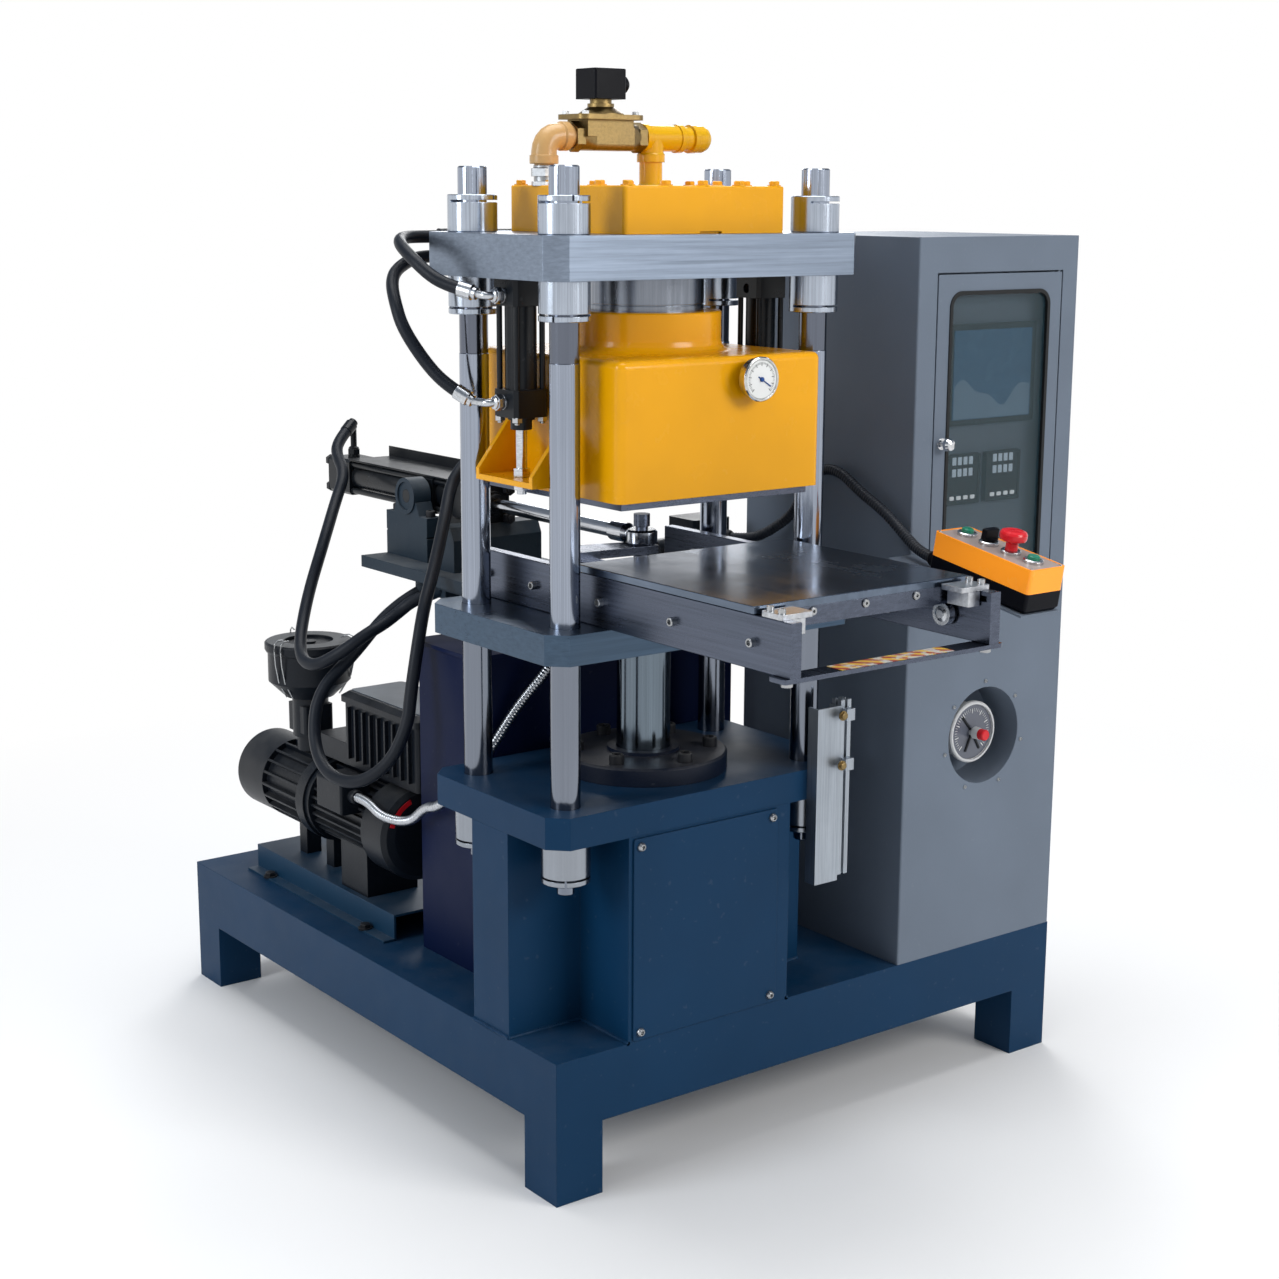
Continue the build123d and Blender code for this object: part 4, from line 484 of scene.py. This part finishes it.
# The elbow runs back from the valve, bends through a quarter turn and drops; a band rings each mouth
pipe_y, pipe_z, mouth_x = 235, 1480, 193
straight, bend_r, bend_run = 23, 22, 34.6
run = np.array([0, 6, 6.2, 7, 17, 18, 19, 23, 30, 37, 44, 51, 57.6, 61.6, 62.6, 73, 74, 74.2, 79])
elbow_r = [16, 16, 19.6, 20.4, 20.4, 19.6, 18, 18, 18, 18, 18, 18, 18, 18.4, 20.4, 20.4, 19.6, 14, 14]
bend_turn = np.clip((run - straight) / bend_run, 0, 1) * np.pi / 2
elbow_x = mouth_x - np.minimum(run, straight) - bend_r * np.sin(bend_turn)
elbow_z = pipe_z - bend_r * (1 - np.cos(bend_turn)) - np.maximum(run - straight - bend_run, 0)
elbow = piece("banded_elbow",
              [carried([spot(x, pipe_y, z) for x, z in zip(elbow_x, elbow_z)], np.array(elbow_r) / 1000)],
              painted("salmon_fitting", (0.55, 0.33, 0.13), 0.30, 0.05, wear=0.02, bump=0.0002,
                      Coat_Weight=0.2), "frame")
union_x, box_top = 148, 1411.5
union_profile = [(0, 0), (0, 17, 1), (6, 17, 1), (6, 14.5), (13, 14.5), (13, 17.5, 1), (24, 17.5, 1),
                 (25, 15), (28, 15), (28, 0)]
union = piece("steel_union", [turned(union_profile, spot(union_x, pipe_y, box_top), upward)],
              steel("union_steel", (0.45, 0.46, 0.47), 0.25, 0.2, 0.3, (200, 200, 200)), "frame")
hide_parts("pipe_elbow")
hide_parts("pipe_elbow")
screw_x, screw_y, lid_top = (146, 210, 274, 338, 402), (37, 100, 163, 227, 290), 1412.5
box_places = [(x, y) for y in (screw_y[0], screw_y[-1]) for x in screw_x]
box_places += [(x, y) for x in (screw_x[0], screw_x[-1]) for y in screw_y[1:-1]]
piece("box_screws", [hex_bolt(spot(x, y, lid_top), upward, 6.5) for x, y in box_places], yellow, "frame")
valve_x, bonnet_top, bonnet_x, bonnet_y = 246, 1510.5, 44, 24
bonnet_places = [(valve_x + x, pipe_y + y) for x in (-bonnet_x, bonnet_x) for y in (-bonnet_y, bonnet_y)]
piece("bonnet_screws",
      [hex_bolt(spot(x, y, bonnet_top), upward, 4.6, washer=False) for x, y in bonnet_places], zinc, "frame")

# Vacuum hood, its gauge and its lift cylinders
# The hood is a welded, sprayed sheet box that slides on the barrel. Two black cylinders push it
# down by rods through its brackets. The gauge has a steel case, a white dial and a thin hand.
dress(steel("rod_chrome", (0.66, 0.68, 0.72), 0.05, 0.08, 0.05, (120, 120, 500)), "lift_rods")
cylinder_black = painted("anodised_black", (0.005, 0.007, 0.010), 0.28, 0.10, wear=0.05, bump=0.00003,
                         edge=0.001)
dress(cylinder_black, "lift_cylinders")
lift_x, tie_pitch, lift_foot = (59, 489), 21, 1100
tie_places = [(x + dx, press_y + dy) for x in lift_x for dx in (-tie_pitch, tie_pitch)
              for dy in (-tie_pitch, tie_pitch)]
tie_nut = [(-1, 0), (-1, 6.5, 1), (6, 6.5, 1), (6, 3.5), (9, 3.5), (10, 0)]
piece("tie_rod_nuts", [turned(tie_nut, spot(x, y, lift_foot), (0, 0, -1)) for x, y in tie_places], zinc,
      "frame")

gauge_x, hood_face, gauge_z, dial_depth = 318, -15.4, 1153, 26.2
case_profile = [(-1, 0), (-1, 12), (5, 12), (5, 9), (8, 9), (9, 26), (11, 28), (21, 28), (21, 30), (22, 31),
                (26, 31), (28, 29.5), (28, 27), (26, 26.6), (26, 0)]
gauge_case = piece("vacuum_gauge", [turned(case_profile, spot(gauge_x, hood_face, gauge_z), forward, 64)],
                   steel("gauge_case_chrome", (0.66, 0.66, 0.64), 0.07, 0.08, 0.05, (120, 120, 120)), "hood")
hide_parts("hood_gauge")
gauge = spot(gauge_x, hood_face - dial_depth, gauge_z)
dial_white = painted("dial_white", (0.80, 0.81, 0.80), 0.45, 0.0, wear=0.0, bump=0.0)
piece("gauge_dial", [turned([(-0.6, 0), (-0.6, 26.4), (0.2, 26.4), (0.2, 0)], gauge, forward, 48)],
      dial_white, "hood")


def dial_bar(centre, angle, inner, outer, width, lift=0.5):
    """Flat bar on a dial: a thin box from one radius to another, at an angle from straight up that
    grows clockwise, standing off the dial by lift."""
    out = np.array([math.sin(angle), 0, math.cos(angle)])
    across = np.array([math.cos(angle), 0, -math.sin(angle)])
    base = np.asarray(centre)
    corners = [(inner, -width), (inner, width), (outer, width), (outer, -width)]
    loop = [[base + (out * a + across * b / 2 + np.array(forward) * h) / 1000 for a, b in corners]
            for h in (0.1, lift)]
    points = np.array(loop)
    top, bottom = points[1].mean(0), points[0].mean(0)
    return rings(np.array([np.repeat([bottom], 4, 0), points[0], points[1], np.repeat([top], 4, 0)]))


half_sweep = 135
ink = painted("dial_ink", (0.01, 0.012, 0.015), 0.5, 0.0, wear=0.0, bump=0.0)
scale = [dial_bar(gauge, math.radians(-half_sweep + 2 * half_sweep * i / 50), 20.5 if i % 5 else 18.5, 23.5,
                  0.35 if i % 5 else 0.8) for i in range(51)]
piece("gauge_scale", scale, ink, "hood")
hand_blue = painted("hand_blue", (0.01, 0.06, 0.25), 0.35, 0.0, wear=0.0, bump=0.0)
piece("gauge_hand", [dial_bar(gauge, math.radians(122), -7, 19, 1.3, 1.6),
                     turned([(0, 0), (0, 3.2), (2.4, 3.2), (2.8, 0)], gauge, forward)], hand_blue, "hood")

# Rails, stops and rollers on the platen
# Two ground bars carry the table on small bearings. An aluminium stop block sits on each rail's
# front end, and a flat tie below them is marked with slanting safety stripes.
dress(steel("bearing_steel", (0.55, 0.57, 0.60), 0.10, 0.12, 0.15, (200, 200, 200)), "rollers")
stripes = painted("striped_tie", (0.62, 0.60, 0.55), 0.35, 0.3)
tree = stripes.node_tree
cut = node(tree, "SeparateXYZ", {0: node(tree, "TexCoord").outputs["Object"]}).outputs
slant = node(tree, "Math", {0: cut["X"], 1: cut["Y"]}, operation="ADD").outputs[0]
stripes_per_metre = 38.0
phase = node(tree, "Math", {0: slant, 1: stripes_per_metre}, operation="MULTIPLY").outputs[0]
phase = node(tree, "Math", {0: phase}, operation="FRACT")
which = node(tree, "Math", {0: phase.outputs[0], 1: 0.5}, operation="GREATER_THAN").outputs[0]
worn = node(tree, "MapRange",
            {"Value": spread(tree, 60.0, 5.0, 0.7), "From Min": 0.52, "From Max": 0.58}).outputs[0]
pair = node(tree, "Mix", {"Factor": which, "A": (0.55, 0.36, 0.05, 1), "B": (0.28, 0.05, 0.04, 1)},
            data_type="RGBA")
tape = node(tree, "Mix", {"Factor": worn, "A": pair.outputs["Result"], "B": (0.42, 0.42, 0.40, 1)},
            data_type="RGBA")
tree.links.new(tape.outputs["Result"], tree.nodes["Principled BSDF"].inputs["Base Color"])


def rounded(low, high, r, steps, inset=0.0):
    """Rectangle between two corners in mm as a closed loop of points: each corner is a quarter circle
    of so many steps, whose radius is r less inset, about a centre that lies r inside the corner."""
    centres = ((high[0] - r, high[1] - r), (low[0] + r, high[1] - r), (low[0] + r, low[1] + r),
               (high[0] - r, low[1] + r))
    return np.array([(u + (r - inset) * math.cos(t + k * math.pi / 2),
                      v + (r - inset) * math.sin(t + k * math.pi / 2))
                     for k, (u, v) in enumerate(centres) for t in np.linspace(0, np.pi / 2, steps)])


def slab(low, high, r):
    """Box between two corners in mm with its upright edges rounded by r: a point, the rounded loop at
    the bottom and at the top, and a point."""
    loop = rounded(low[:2], high[:2], r, 5)
    middle = loop.mean(0)
    rows = ((0.0, low[2]), (1.0, low[2]), (1.0, high[2]), (0.0, high[2]))
    return rings(np.array([[spot(*(middle + (p - middle) * f), z) for p in loop] for f, z in rows]))


tape_low, tape_high = (178, -369, 821.8), (376, -340, 822.6)
piece("safety_tape", [slab(tape_low, tape_high, 1.0)], stripes, "platen")
alloy = steel("milled_alloy", (0.58, 0.60, 0.63), 0.24, 0.2, 0.12, (150, 150, 150), edge=0.0008)
stop_front, stop_back, stop_foot, rail_top, stop_top = -352, -312, 872, 892, 899
stops = []
for cap_x, web_x in (((92.5, 144), (110, 132)), ((404, 455.5), (416, 438))):
    stops.append(slab((cap_x[0], stop_front, rail_top), (cap_x[1], stop_back, stop_top), 3))
    stops.append(slab((web_x[0], stop_front, stop_foot), (web_x[1], stop_back, rail_top + 0.5), 2))
piece("stop_blocks", stops, alloy, "platen")
stop_x, stop_screw_y = (100, 448), (-343, -321)
rail_sides, rail_screw_y, rail_screw_z = ((90.8, -1), (457.2, 1)), (-300, -140, 20, 180, 300), 857
rail_screws = [cap_screw(spot(x, y, stop_top), upward, 5) for x in stop_x for y in stop_screw_y]
rail_screws += [cap_screw(spot(x, y, rail_screw_z), (way, 0, 0), 6)
                for x, way in rail_sides for y in rail_screw_y]
piece("rail_screws", rail_screws, zinc, "platen")
tie_y, tie_foot = -354, 816
piece("tie_screws", [hex_bolt(spot(x, tie_y, tie_foot), (0, 0, -1), 7) for x in stop_x], zinc, "platen")

# Table with its heating plate, pull plate and rod
# The table is a ground and polished plate, scratched along the slide by moulds. Its heating
# plate carries three heater plugs at the front. A bent pull plate and pin join it to the rod.
table_steel = steel("polished_table", (0.17, 0.21, 0.28), 0.05, 0.16, 0.75, (60, 5, 60), edge=0.0008)
dress(table_steel, "table_plate")
dress(ground_bar, "table_link")
dress(steel("table_rod_chrome", (0.60, 0.62, 0.66), 0.06, 0.12, 0.1, (300, 20, 300)), "table_rod")
plug_x, table_face, plug_z = (183.4, 274, 364.6), -306.5, 887
plug = [(-8, 0), (-8, 5.6), (2, 5.6), (3, 4.6), (3, 2), (-2, 2), (-2, 0)]
piece("heater_plugs", [turned(plug, spot(x, table_face, plug_z), forward) for x in plug_x], zinc, "table")

# Table cylinder, its trunnion blocks and the bracket behind the platen
# A tie-rod cylinder swings in two cast pillow blocks on a welded arm. Arm and blocks are brushed
# with dark blue-grey paint that has gone matt with oil and dust.
arm_paint = painted("blue_grey_matt_paint", (0.014, 0.027, 0.042), 0.50, 0.25, bump=0.0002)
dress(arm_paint, "cylinder_bracket", "trunnion_blocks")
dress(cylinder_black, "table_cylinder")
block_x, block_y, block_top, block_half = (222, 326), 724.5, 882, 52
block_screws = [cap_screw(spot(x, block_y + y, block_top), upward, 8) for x in block_x
                for y in (-block_half, block_half)]
piece("pillow_block_screws", block_screws, black_oxide, "platen")
rod_z, rod_pitch, head_ends = 912, 23, ((1049.5, 1), (557.5, -1))
rod_nut = [(-1, 0), (-1, 8.5, 1), (8, 8.5, 1), (8, 5), (11, 5), (12, 0)]
cylinder_nuts = [turned(rod_nut, spot(press_x + dx, y, rod_z + dz), (0, way, 0)) for y, way in head_ends
                 for dx in (-rod_pitch, rod_pitch) for dz in (-rod_pitch, rod_pitch)]
piece("cylinder_nuts", cylinder_nuts, black_oxide, "platen")

# Cabinet, its door and what stands behind the window
# Powder-coated sheet cabinet with a flush door. Behind the tinted pane are an operator screen
# and two panel controllers. Below, a contact gauge lies at the bottom of a round pocket.
cabinet_grey = painted("cabinet_powder_coat", (0.125, 0.155, 0.200), 0.42, 0.08, wear=0.05, bump=0.00012,
                       edge=0.002)
dress(cabinet_grey, "cabinet", "door_frame", "control_shelf")
dress(steel("knob_chrome", (0.72, 0.73, 0.75), 0.08, 0.05, 0.05, (100, 100, 100)), "door_knob")
pane = painted("tinted_pane", (0.012, 0.045, 0.060), 0.04, 0.0, wear=0.0, bump=0.0, Alpha=0.30,
               Specular_IOR_Level=0.8)
dress(pane, "door_glass")
bezel = painted("instrument_black", (0.020, 0.026, 0.030), 0.40, 0.0, wear=0.0, bump=0.00003, edge=0.001)
dress(bezel, "instruments")


def glow(name, colour, strength):
    """Surface behind the pane whose colour also shines, with the faint grain of a display's dots: lit on the
    screen and figures, a painted glow on the keys.
    """
    material = painted(name, colour, 0.25, 0.0, wear=0.0, bump=0.0)
    tree = material.node_tree
    body = tree.nodes["Principled BSDF"]
    dots = node(tree, "Mapping",
                {"Vector": node(tree, "TexCoord").outputs["Object"], "Scale": (900, 900, 900)})
    fine = node(tree, "TexNoise", {"Vector": dots.outputs[0], "Scale": 0.4, "Detail": 1.0}).outputs["Fac"]
    lit = ramp(tree, fine, (0.2, tuple(c * 0.7 for c in colour)), (0.8, colour))
    tree.links.new(lit, body.inputs["Emission Color"])
    body.inputs["Emission Strength"].default_value = strength
    return material


def plate(low, high, r, depth):
    """Upright plate that faces the front, between two (x, z) corners with corner radius r: a point and
    a rounded loop at each end of its (front, back) range of y."""
    loop = rounded(low, high, r, 6)
    middle = loop.mean(0)
    rows = ((0.0, depth[1]), (1.0, depth[1]), (1.0, depth[0]), (0.0, depth[0]))
    return rings(np.array([[spot(p[0], y, p[1]) for p in middle + (loop - middle) * f] for f, y in rows]))


screen_low, screen_high, screen_depth = (750, 1065), (920, 1201), (16.9, 18.2)
screen_blue = glow("screen_blue", (0.030, 0.085, 0.16), 0.42)
piece("screen_glass", [plate(screen_low, screen_high, 2, screen_depth)], screen_blue, "frame")
# The paler picture on the screen ends in a wavy line, the sum of a long and a short sine
picture_low, picture_wide, picture_y, wave_z, samples = (752, 1066.0), 166, 16.7, 1105, 40
along = np.linspace(0, 1, samples)
wave = wave_z + 16 * np.sin(along * 7 + 0.6) + 6 * np.sin(along * 17)
picture = np.array([[spot(picture_low[0] + picture_wide * t, picture_y, z) for t, z in zip(along, edge)]
                    for edge in (np.full(samples, picture_low[1]), wave)])
behind = picture + np.array([0, 0.0001, 0])
picture = np.concatenate([picture, behind[::-1]], 0)
screen_pale = glow("screen_pale", (0.09, 0.14, 0.20), 0.6)
piece("screen_picture", [rings(np.transpose(picture, (1, 0, 2)))], screen_pale, "frame")
# Each controller shows two rows of four figures, drawn as plain bars, over a row of four keys that shine with
# painted glow
controller_x, digit_rows, key_z = (740, 829), (996, 978), 942
digit_start, digit_wide, digit_high, digit_pitch, digit_depth = 14, 8, 12, 12, (16.3, 17.2)
key_start, key_wide, key_high, key_pitch, key_depth = 10, 9, 6, 15, (16.0, 17.2)
digits, keys = [], []
for x0 in controller_x:
    for x, z in [(x0 + digit_start + k * digit_pitch, z) for z in digit_rows for k in range(4)]:
        digits.append(plate((x, z), (x + digit_wide, z + digit_high), 0.8, digit_depth))
    for x in [x0 + key_start + k * key_pitch for k in range(4)]:
        keys.append(plate((x, key_z), (x + key_wide, key_z + key_high), 1.5, key_depth))
piece("controller_digits", digits, glow("digit_grey", (0.30, 0.36, 0.42), 0.9), "frame")
piece("controller_keys", keys, glow("key_white_painted_glow", (0.60, 0.63, 0.66), 0.7), "frame")


def ring_band(low, high, r, wide, depth):
    """Rounded rectangular band that faces the front: the outer loop, and the same drawn in by wide."""
    outer, inner = rounded(low, high, r, 8), rounded(low, high, r, 8, wide)
    loops = [(outer, depth[1]), (outer, depth[0]), (inner, depth[0]), (inner, depth[1]), (outer, depth[1])]
    return rings(np.array([[spot(x, y, z) for x, z in points] for points, y in loops]))


rubber = painted("gasket_rubber", (0.010, 0.011, 0.012), 0.55, 0.1, wear=0.0, bump=0.00005, edge=0.001)
window_low, window_high, window_r, gasket_wide, gasket_depth = (720, 795), (938, 1261), 24, 6, (-1.6, 3.2)
piece("window_gasket", [ring_band(window_low, window_high, window_r, gasket_wide, gasket_depth)], rubber,
      "door")
dress(painted("dial_case", (0.55, 0.56, 0.57), 0.4, 0.1, wear=0.0), "contact_gauge")
dial_dark = painted("dial_dark", (0.10, 0.11, 0.14), 0.12, 0.0, wear=0.0, bump=0.0, Specular_IOR_Level=0.5)
pocket_x, pocket_z, dial_y, knob_y = 828, 563, 25.8, 6.2
contact = spot(pocket_x, dial_y, pocket_z)
piece("contact_dial", [turned([(-1, 0), (-1, 44.5), (0, 44.5), (0, 0)], contact, forward, 48)], dial_dark,
      "frame")
contact_scale = [dial_bar(contact, math.radians(-half_sweep + 2 * half_sweep * i / 40), 33 if i % 5 else 30,
                          38, 0.6 if i % 5 else 1.3) for i in range(41)]
piece("contact_scale", contact_scale, dial_white, "frame")
hand_angles = (-40, 150, 205)
piece("contact_hands", [dial_bar(contact, math.radians(a), -6, 34, 3.5, 2.0) for a in hand_angles], ink,
      "frame")
red = painted("red_plastic", (0.60, 0.012, 0.020), 0.25, 0.0, wear=0.0, bump=0.0, edge=0.001, Coat_Weight=0.3)
knob = turned([(0, 0), (0, 9), (10, 9), (12, 7.5), (12, 0)], spot(pocket_x, knob_y, pocket_z), forward)
piece("contact_knob", [knob], red, "frame")
rim_r, rim_count = 88, 7
rim_turns = [math.radians(90 + 360 * i / rim_count) for i in range(rim_count)]
rim_screws = [pan_screw(spot(pocket_x + rim_r * math.cos(t), 0, pocket_z + rim_r * math.sin(t)), forward, 3.2)
              for t in rim_turns]
piece("pocket_screws", rim_screws, zinc, "frame")

# Control box on its shelf
# Two-piece moulded box, an orange band over a black foot, tilted to the operator, with two green
# start buttons, a black selector and a red stop head in bright collars.
dress(moulding, "control_box_base", "selector_knob")
# The orange band's emission is a painted glow: the moulding is no lamp.
orange_painted_glow = painted("orange_moulding_painted_glow", (1.0, 0.33, 0.02), 0.25, 0.0, wear=0.0, bump=0.00004, edge=0.002,
                 Coat_Weight=0.3, Emission_Color=(1.0, 0.30, 0.02, 1), Emission_Strength=0.18)
dress(orange_painted_glow, "control_box_top")
dress(steel("collar_alloy", (0.62, 0.63, 0.65), 0.18, 0.1, 0.05, (300, 300, 300)), "button_collars")
dress(red, "stop_button")
dress(painted("green_plastic", (0.015, 0.20, 0.12), 0.28, 0.0, wear=0.0, bump=0.0, Coat_Weight=0.3),
      "start_button_rear", "start_button_front")
tilt = math.radians(9.6)
box_x, box_y, box_z = 614, -79, 857


def on_box(x, y, z):
    """Point on the tilted box, in mm from its rear left lower corner: y and z turned by the tilt."""
    return spot(box_x + x, box_y + y * math.cos(tilt) - z * math.sin(tilt),
                box_z + y * math.sin(tilt) + z * math.cos(tilt))


box_up = (0, -math.sin(tilt), math.cos(tilt))
grey_face = painted("box_face_grey", (0.33, 0.27, 0.25), 0.32, 0.1, wear=0.0, bump=0.00004)
# The face plate's outline is a superellipse: cosine and sine to small powers, each keeping its sign
turn = np.linspace(0, 2 * np.pi, 60, endpoint=False)
half_wide, half_long, face_x, face_y, face_low, face_high = 32.8, 93.8, 35.5, -96.5, 64.6, 65.3
outline = np.stack([np.sign(np.cos(turn)) * np.abs(np.cos(turn)) ** 0.12 * half_wide,
                    np.sign(np.sin(turn)) * np.abs(np.sin(turn)) ** 0.05 * half_long], -1)
face = [[on_box(face_x + p[0] * f, face_y + p[1] * f, z) for p in outline]
        for f, z in ((0.0, face_low), (1.0, face_low), (1.0, face_high), (0.0, face_high))]
piece("box_face", [rings(np.array(face))], grey_face, "frame")
face_screws = [pan_screw(on_box(x, y, face_high - 0.1), box_up, 2.4) for x in (6, 65) for y in (-188, -5)]
piece("box_screws_top", face_screws, zinc, "frame")

# Position sensor rail
# Anodised aluminium channel and slotted profile, screwed to the front of the press. Two brass
# clamps in its slot each hold by one hexagon screw.
dress(steel("anodised_rail", (0.40, 0.44, 0.49), 0.28, 0.2, 0.2, (600, 600, 8), edge=0.0008), "sensor_rail")
clamp_x, clamp_face, clamp_z = 494, -33, (574, 650)
piece("clamp_screws", [hex_bolt(spot(clamp_x, clamp_face, z), forward, 5) for z in clamp_z], brass, "frame")

# Pump set, tank and valve block
# Rotary vane pump, its motor and the valve block are sprayed satin black. The filter bowl is held
# by bent wire clips. The tank behind the press is dark navy sheet.
pump_black = painted("satin_black_casting", (0.004, 0.0065, 0.011), 0.36, 0.14, bump=0.0003, edge=0.0015)
dress(pump_black, "pump_body", "pump_motor", "pump_filter", "valve_manifold")
dress(painted("mount_paint", (0.008, 0.038, 0.080), 0.36, 0.16), "pump_mount")
dress(painted("navy_paint", (0.002, 0.007, 0.036), 0.42, 0.05, Specular_IOR_Level=0.10), "oil_tank")
mount_x, mount_y, mount_top = (62, 218), (636, 969), 219
mount_bolts = [hex_bolt(spot(x, y, mount_top), upward, 8) for x in mount_x for y in mount_y]
piece("mount_bolts", mount_bolts, black_oxide, "frame")
lid_grey = painted("lid_grey", (0.10, 0.12, 0.145), 0.4, 0.2)
lid_low, lid_high = (112, 532, 591), (212, 757, 592.4)
piece("oil_box_lid", [slab(lid_low, lid_high, 8)], lid_grey, "frame")
filter_x, filter_y, filter_top = 122, 915, 647.4
filter_ring = turned([(0, 42), (0, 72), (0.8, 72), (0.8, 42), (0, 42)], spot(filter_x, filter_y, filter_top),
                     upward, 48)
piece("filter_lid", [filter_ring], painted("filter_lid_grey", (0.045, 0.05, 0.055), 0.35, 0.2), "frame")

# Three clips hold the bowl, each a pair of bent wires that run over the lid and down the bowl's side
clip_turns, clip_half, wire_r = (200, 320, 80), 7, 0.0013
clip_bends = [(58, 655.5), (70, 657), (78, 652), (79, 640), (77, 615), (70, 585), (52, 556)]
clips = []
for turn in clip_turns:
    out = np.array([math.cos(math.radians(turn)), math.sin(math.radians(turn))])
    side = np.array([-out[1], out[0]])
    for apart in (-clip_half, clip_half):
        clips.append(carried([spot(filter_x + out[0] * a + side[0] * apart,
                                   filter_y + out[1] * a + side[1] * apart, z)
                              for a, z in clip_bends], wire_r, 8, (0.13, 0.2, 0.97)))
piece("filter_clips", clips, zinc, "frame")


def face_arc(centre, inner, outer, start, end, lift):
    """Flat strip on a round face that looks to the front: a thin box section, between two radii in mm,
    carried round an arc from one angle to another."""
    turns = np.radians(np.linspace(start, end, 20))
    section = ((inner, -0.5), (inner, lift), (outer, lift), (outer, -0.5))
    grid = np.array([[spot(centre[0] + r * math.cos(t), centre[1] - h, centre[2] + r * math.sin(t))
                      for r, h in section] for t in turns])
    first, last = grid[:1].mean(1, keepdims=True), grid[-1:].mean(1, keepdims=True)
    return rings(np.concatenate([np.repeat(first, 4, 1), grid, np.repeat(last, 4, 1)], 0))


fan_face = (132, 560, 385)
piece("turning_mark", [face_arc(fan_face, 60, 68, 112, 160, 0.6)], red, "frame")

# Hoses and conduits
# Rubber hydraulic hoses with crimped steel ends, a black ribbed conduit to the control box and
# a bright ribbed one to the tank. Each follows its listed route of points between its two ends.
dress(steel("hose_ends", (0.62, 0.64, 0.67), 0.16, 0.14, 0.1, (300, 300, 300)), "hose_elbows")
hose_rubber = painted("hose_rubber", (0.004, 0.007, 0.013), 0.44, 0.05, wear=0.02, bump=0.0001, edge=0.0005)


def hose_line(name, points):
    """NURBS line whose control points are the hose's route, in mm from the base's corner."""
    data = bpy.data.curves.new(name, "CURVE")
    data.dimensions = "3D"
    spline = data.splines.new("NURBS")
    spline.points.add(len(points) - 1)
    for point, place in zip(spline.points, points):
        point.co = (*spot(*place), 1)
    spline.order_u = 3
    spline.use_endpoint_u = True
    spline.resolution_u = 12
    made = bpy.data.objects.new(name, data)
    bpy.context.scene.collection.objects.link(made)
    return made


def hose(name, node_name, points, diameter, length, body, stiffness, lay, **more):
    """Rubber hose: a round bevel of half its diameter along its route. It stands for its CAD node."""
    line = hose_line(name, points)
    line.data.bevel_depth = diameter / 2000
    line.data.bevel_resolution = 6
    line.data.materials.append(hose_rubber)
    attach(line, body)
    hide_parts(node_name)


hose("lift_hose_upper", "upper_hose",
     [(60, 374, 1340), (40, 375, 1340), (4, 369, 1340), (-23, 345, 1337), (-40, 312, 1329), (-43, 276, 1312),
      (-33, 244, 1289), (-20, 221, 1278), (-12, 206, 1274)], 18, 255, "frame", "medium", "hanging",
     with_pieces=[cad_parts["hose_elbows"]])
hose("lift_hose_lower", "lower_hose",
     [(60, 382, 1312), (35, 383, 1312), (11, 378, 1306), (-20, 363, 1293), (-41, 338, 1277), (-53, 309, 1252),
      (-54, 288, 1218), (-35, 263, 1173), (-21, 236, 1145), (-10, 220, 1134)], 18, 320, "frame", "medium",
     "hanging")
hose("cylinder_hose_rear", "rear_hose",
     [(252, 1000, 990), (230, 990, 974), (215, 970, 956), (206, 925, 927), (175, 902, 888), (127, 859, 829),
      (75, 832, 735), (23, 769, 661), (15, 705, 650), (42, 655, 682), (76, 639, 709), (109, 636, 723),
      (136, 632, 741), (152, 618, 759), (176, 604, 770)], 20, 767, "platen", "limp", "hanging")
hose("cylinder_hose_front", "front_hose",
     [(256, 600, 988), (247, 599, 979), (229, 597, 965), (209, 591, 941), (180, 561, 898), (136, 525, 825),
      (98, 494, 776), (70, 471, 712), (56, 468, 647), (46, 461, 602), (21, 475, 540), (-8, 527, 499),
      (-23, 598, 502), (-15, 655, 545), (9, 678, 618), (70, 671, 669), (115, 659, 723), (143, 650, 747),
      (163, 642, 761), (176, 636, 769)], 20, 1058, "platen", "limp", "hanging")


def ribbed(name, node_name, points, diameter, material, body, pitch):
    """Corrugated conduit: rings along the line whose radius rises and falls once per pitch, in mm."""
    line = hose_line(name + "_line", points)
    sampled = bpy.data.meshes.new_from_object(line)
    path = np.array([v.co for v in sampled.vertices])
    bpy.data.objects.remove(line)
    run = np.concatenate([[0], np.cumsum(np.linalg.norm(np.diff(path, axis=0), axis=1))])
    steps = np.arange(0, run[-1], pitch / 6000)
    route = np.stack([np.interp(steps, run, path[:, k]) for k in range(3)], -1)
    swell = diameter / 2000 * (0.94 + 0.06 * np.cos(steps * 2 * np.pi * 1000 / pitch))
    made = piece(name, [carried(route, swell, 14, (0.31, 0.17, 0.93), 9)], material, body)
    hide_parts(node_name)


conduit_black = painted("conduit_black", (0.012, 0.016, 0.024), 0.35, 0.15, wear=0.0, bump=0.0)
ribbed("control_conduit", "box_conduit",
       [(638, -62, 876), (638, -35, 881), (643, 1, 900), (635, 40, 934), (636, 90, 954), (635, 151, 990),
        (636, 218, 970), (645, 250, 907), (623, 286, 873), (608, 320, 856), (594, 352, 856)], 17,
       conduit_black, "frame", 5.0)
ribbed("tank_conduit_ribbed", "tank_conduit",
       [(62, 650, 438), (62, 617, 440), (54, 560, 428), (70, 500, 430), (73, 458, 467), (59, 398, 482),
        (76, 341, 529), (129, 343, 588), (157, 328, 640), (201, 299, 703), (253, 334, 739), (275, 370, 745),
        (285, 400, 748)], 16,
       steel("conduit_steel", (0.55, 0.57, 0.60), 0.2, 0.15, 0.1, (200, 200, 200)), "frame", 5.0)
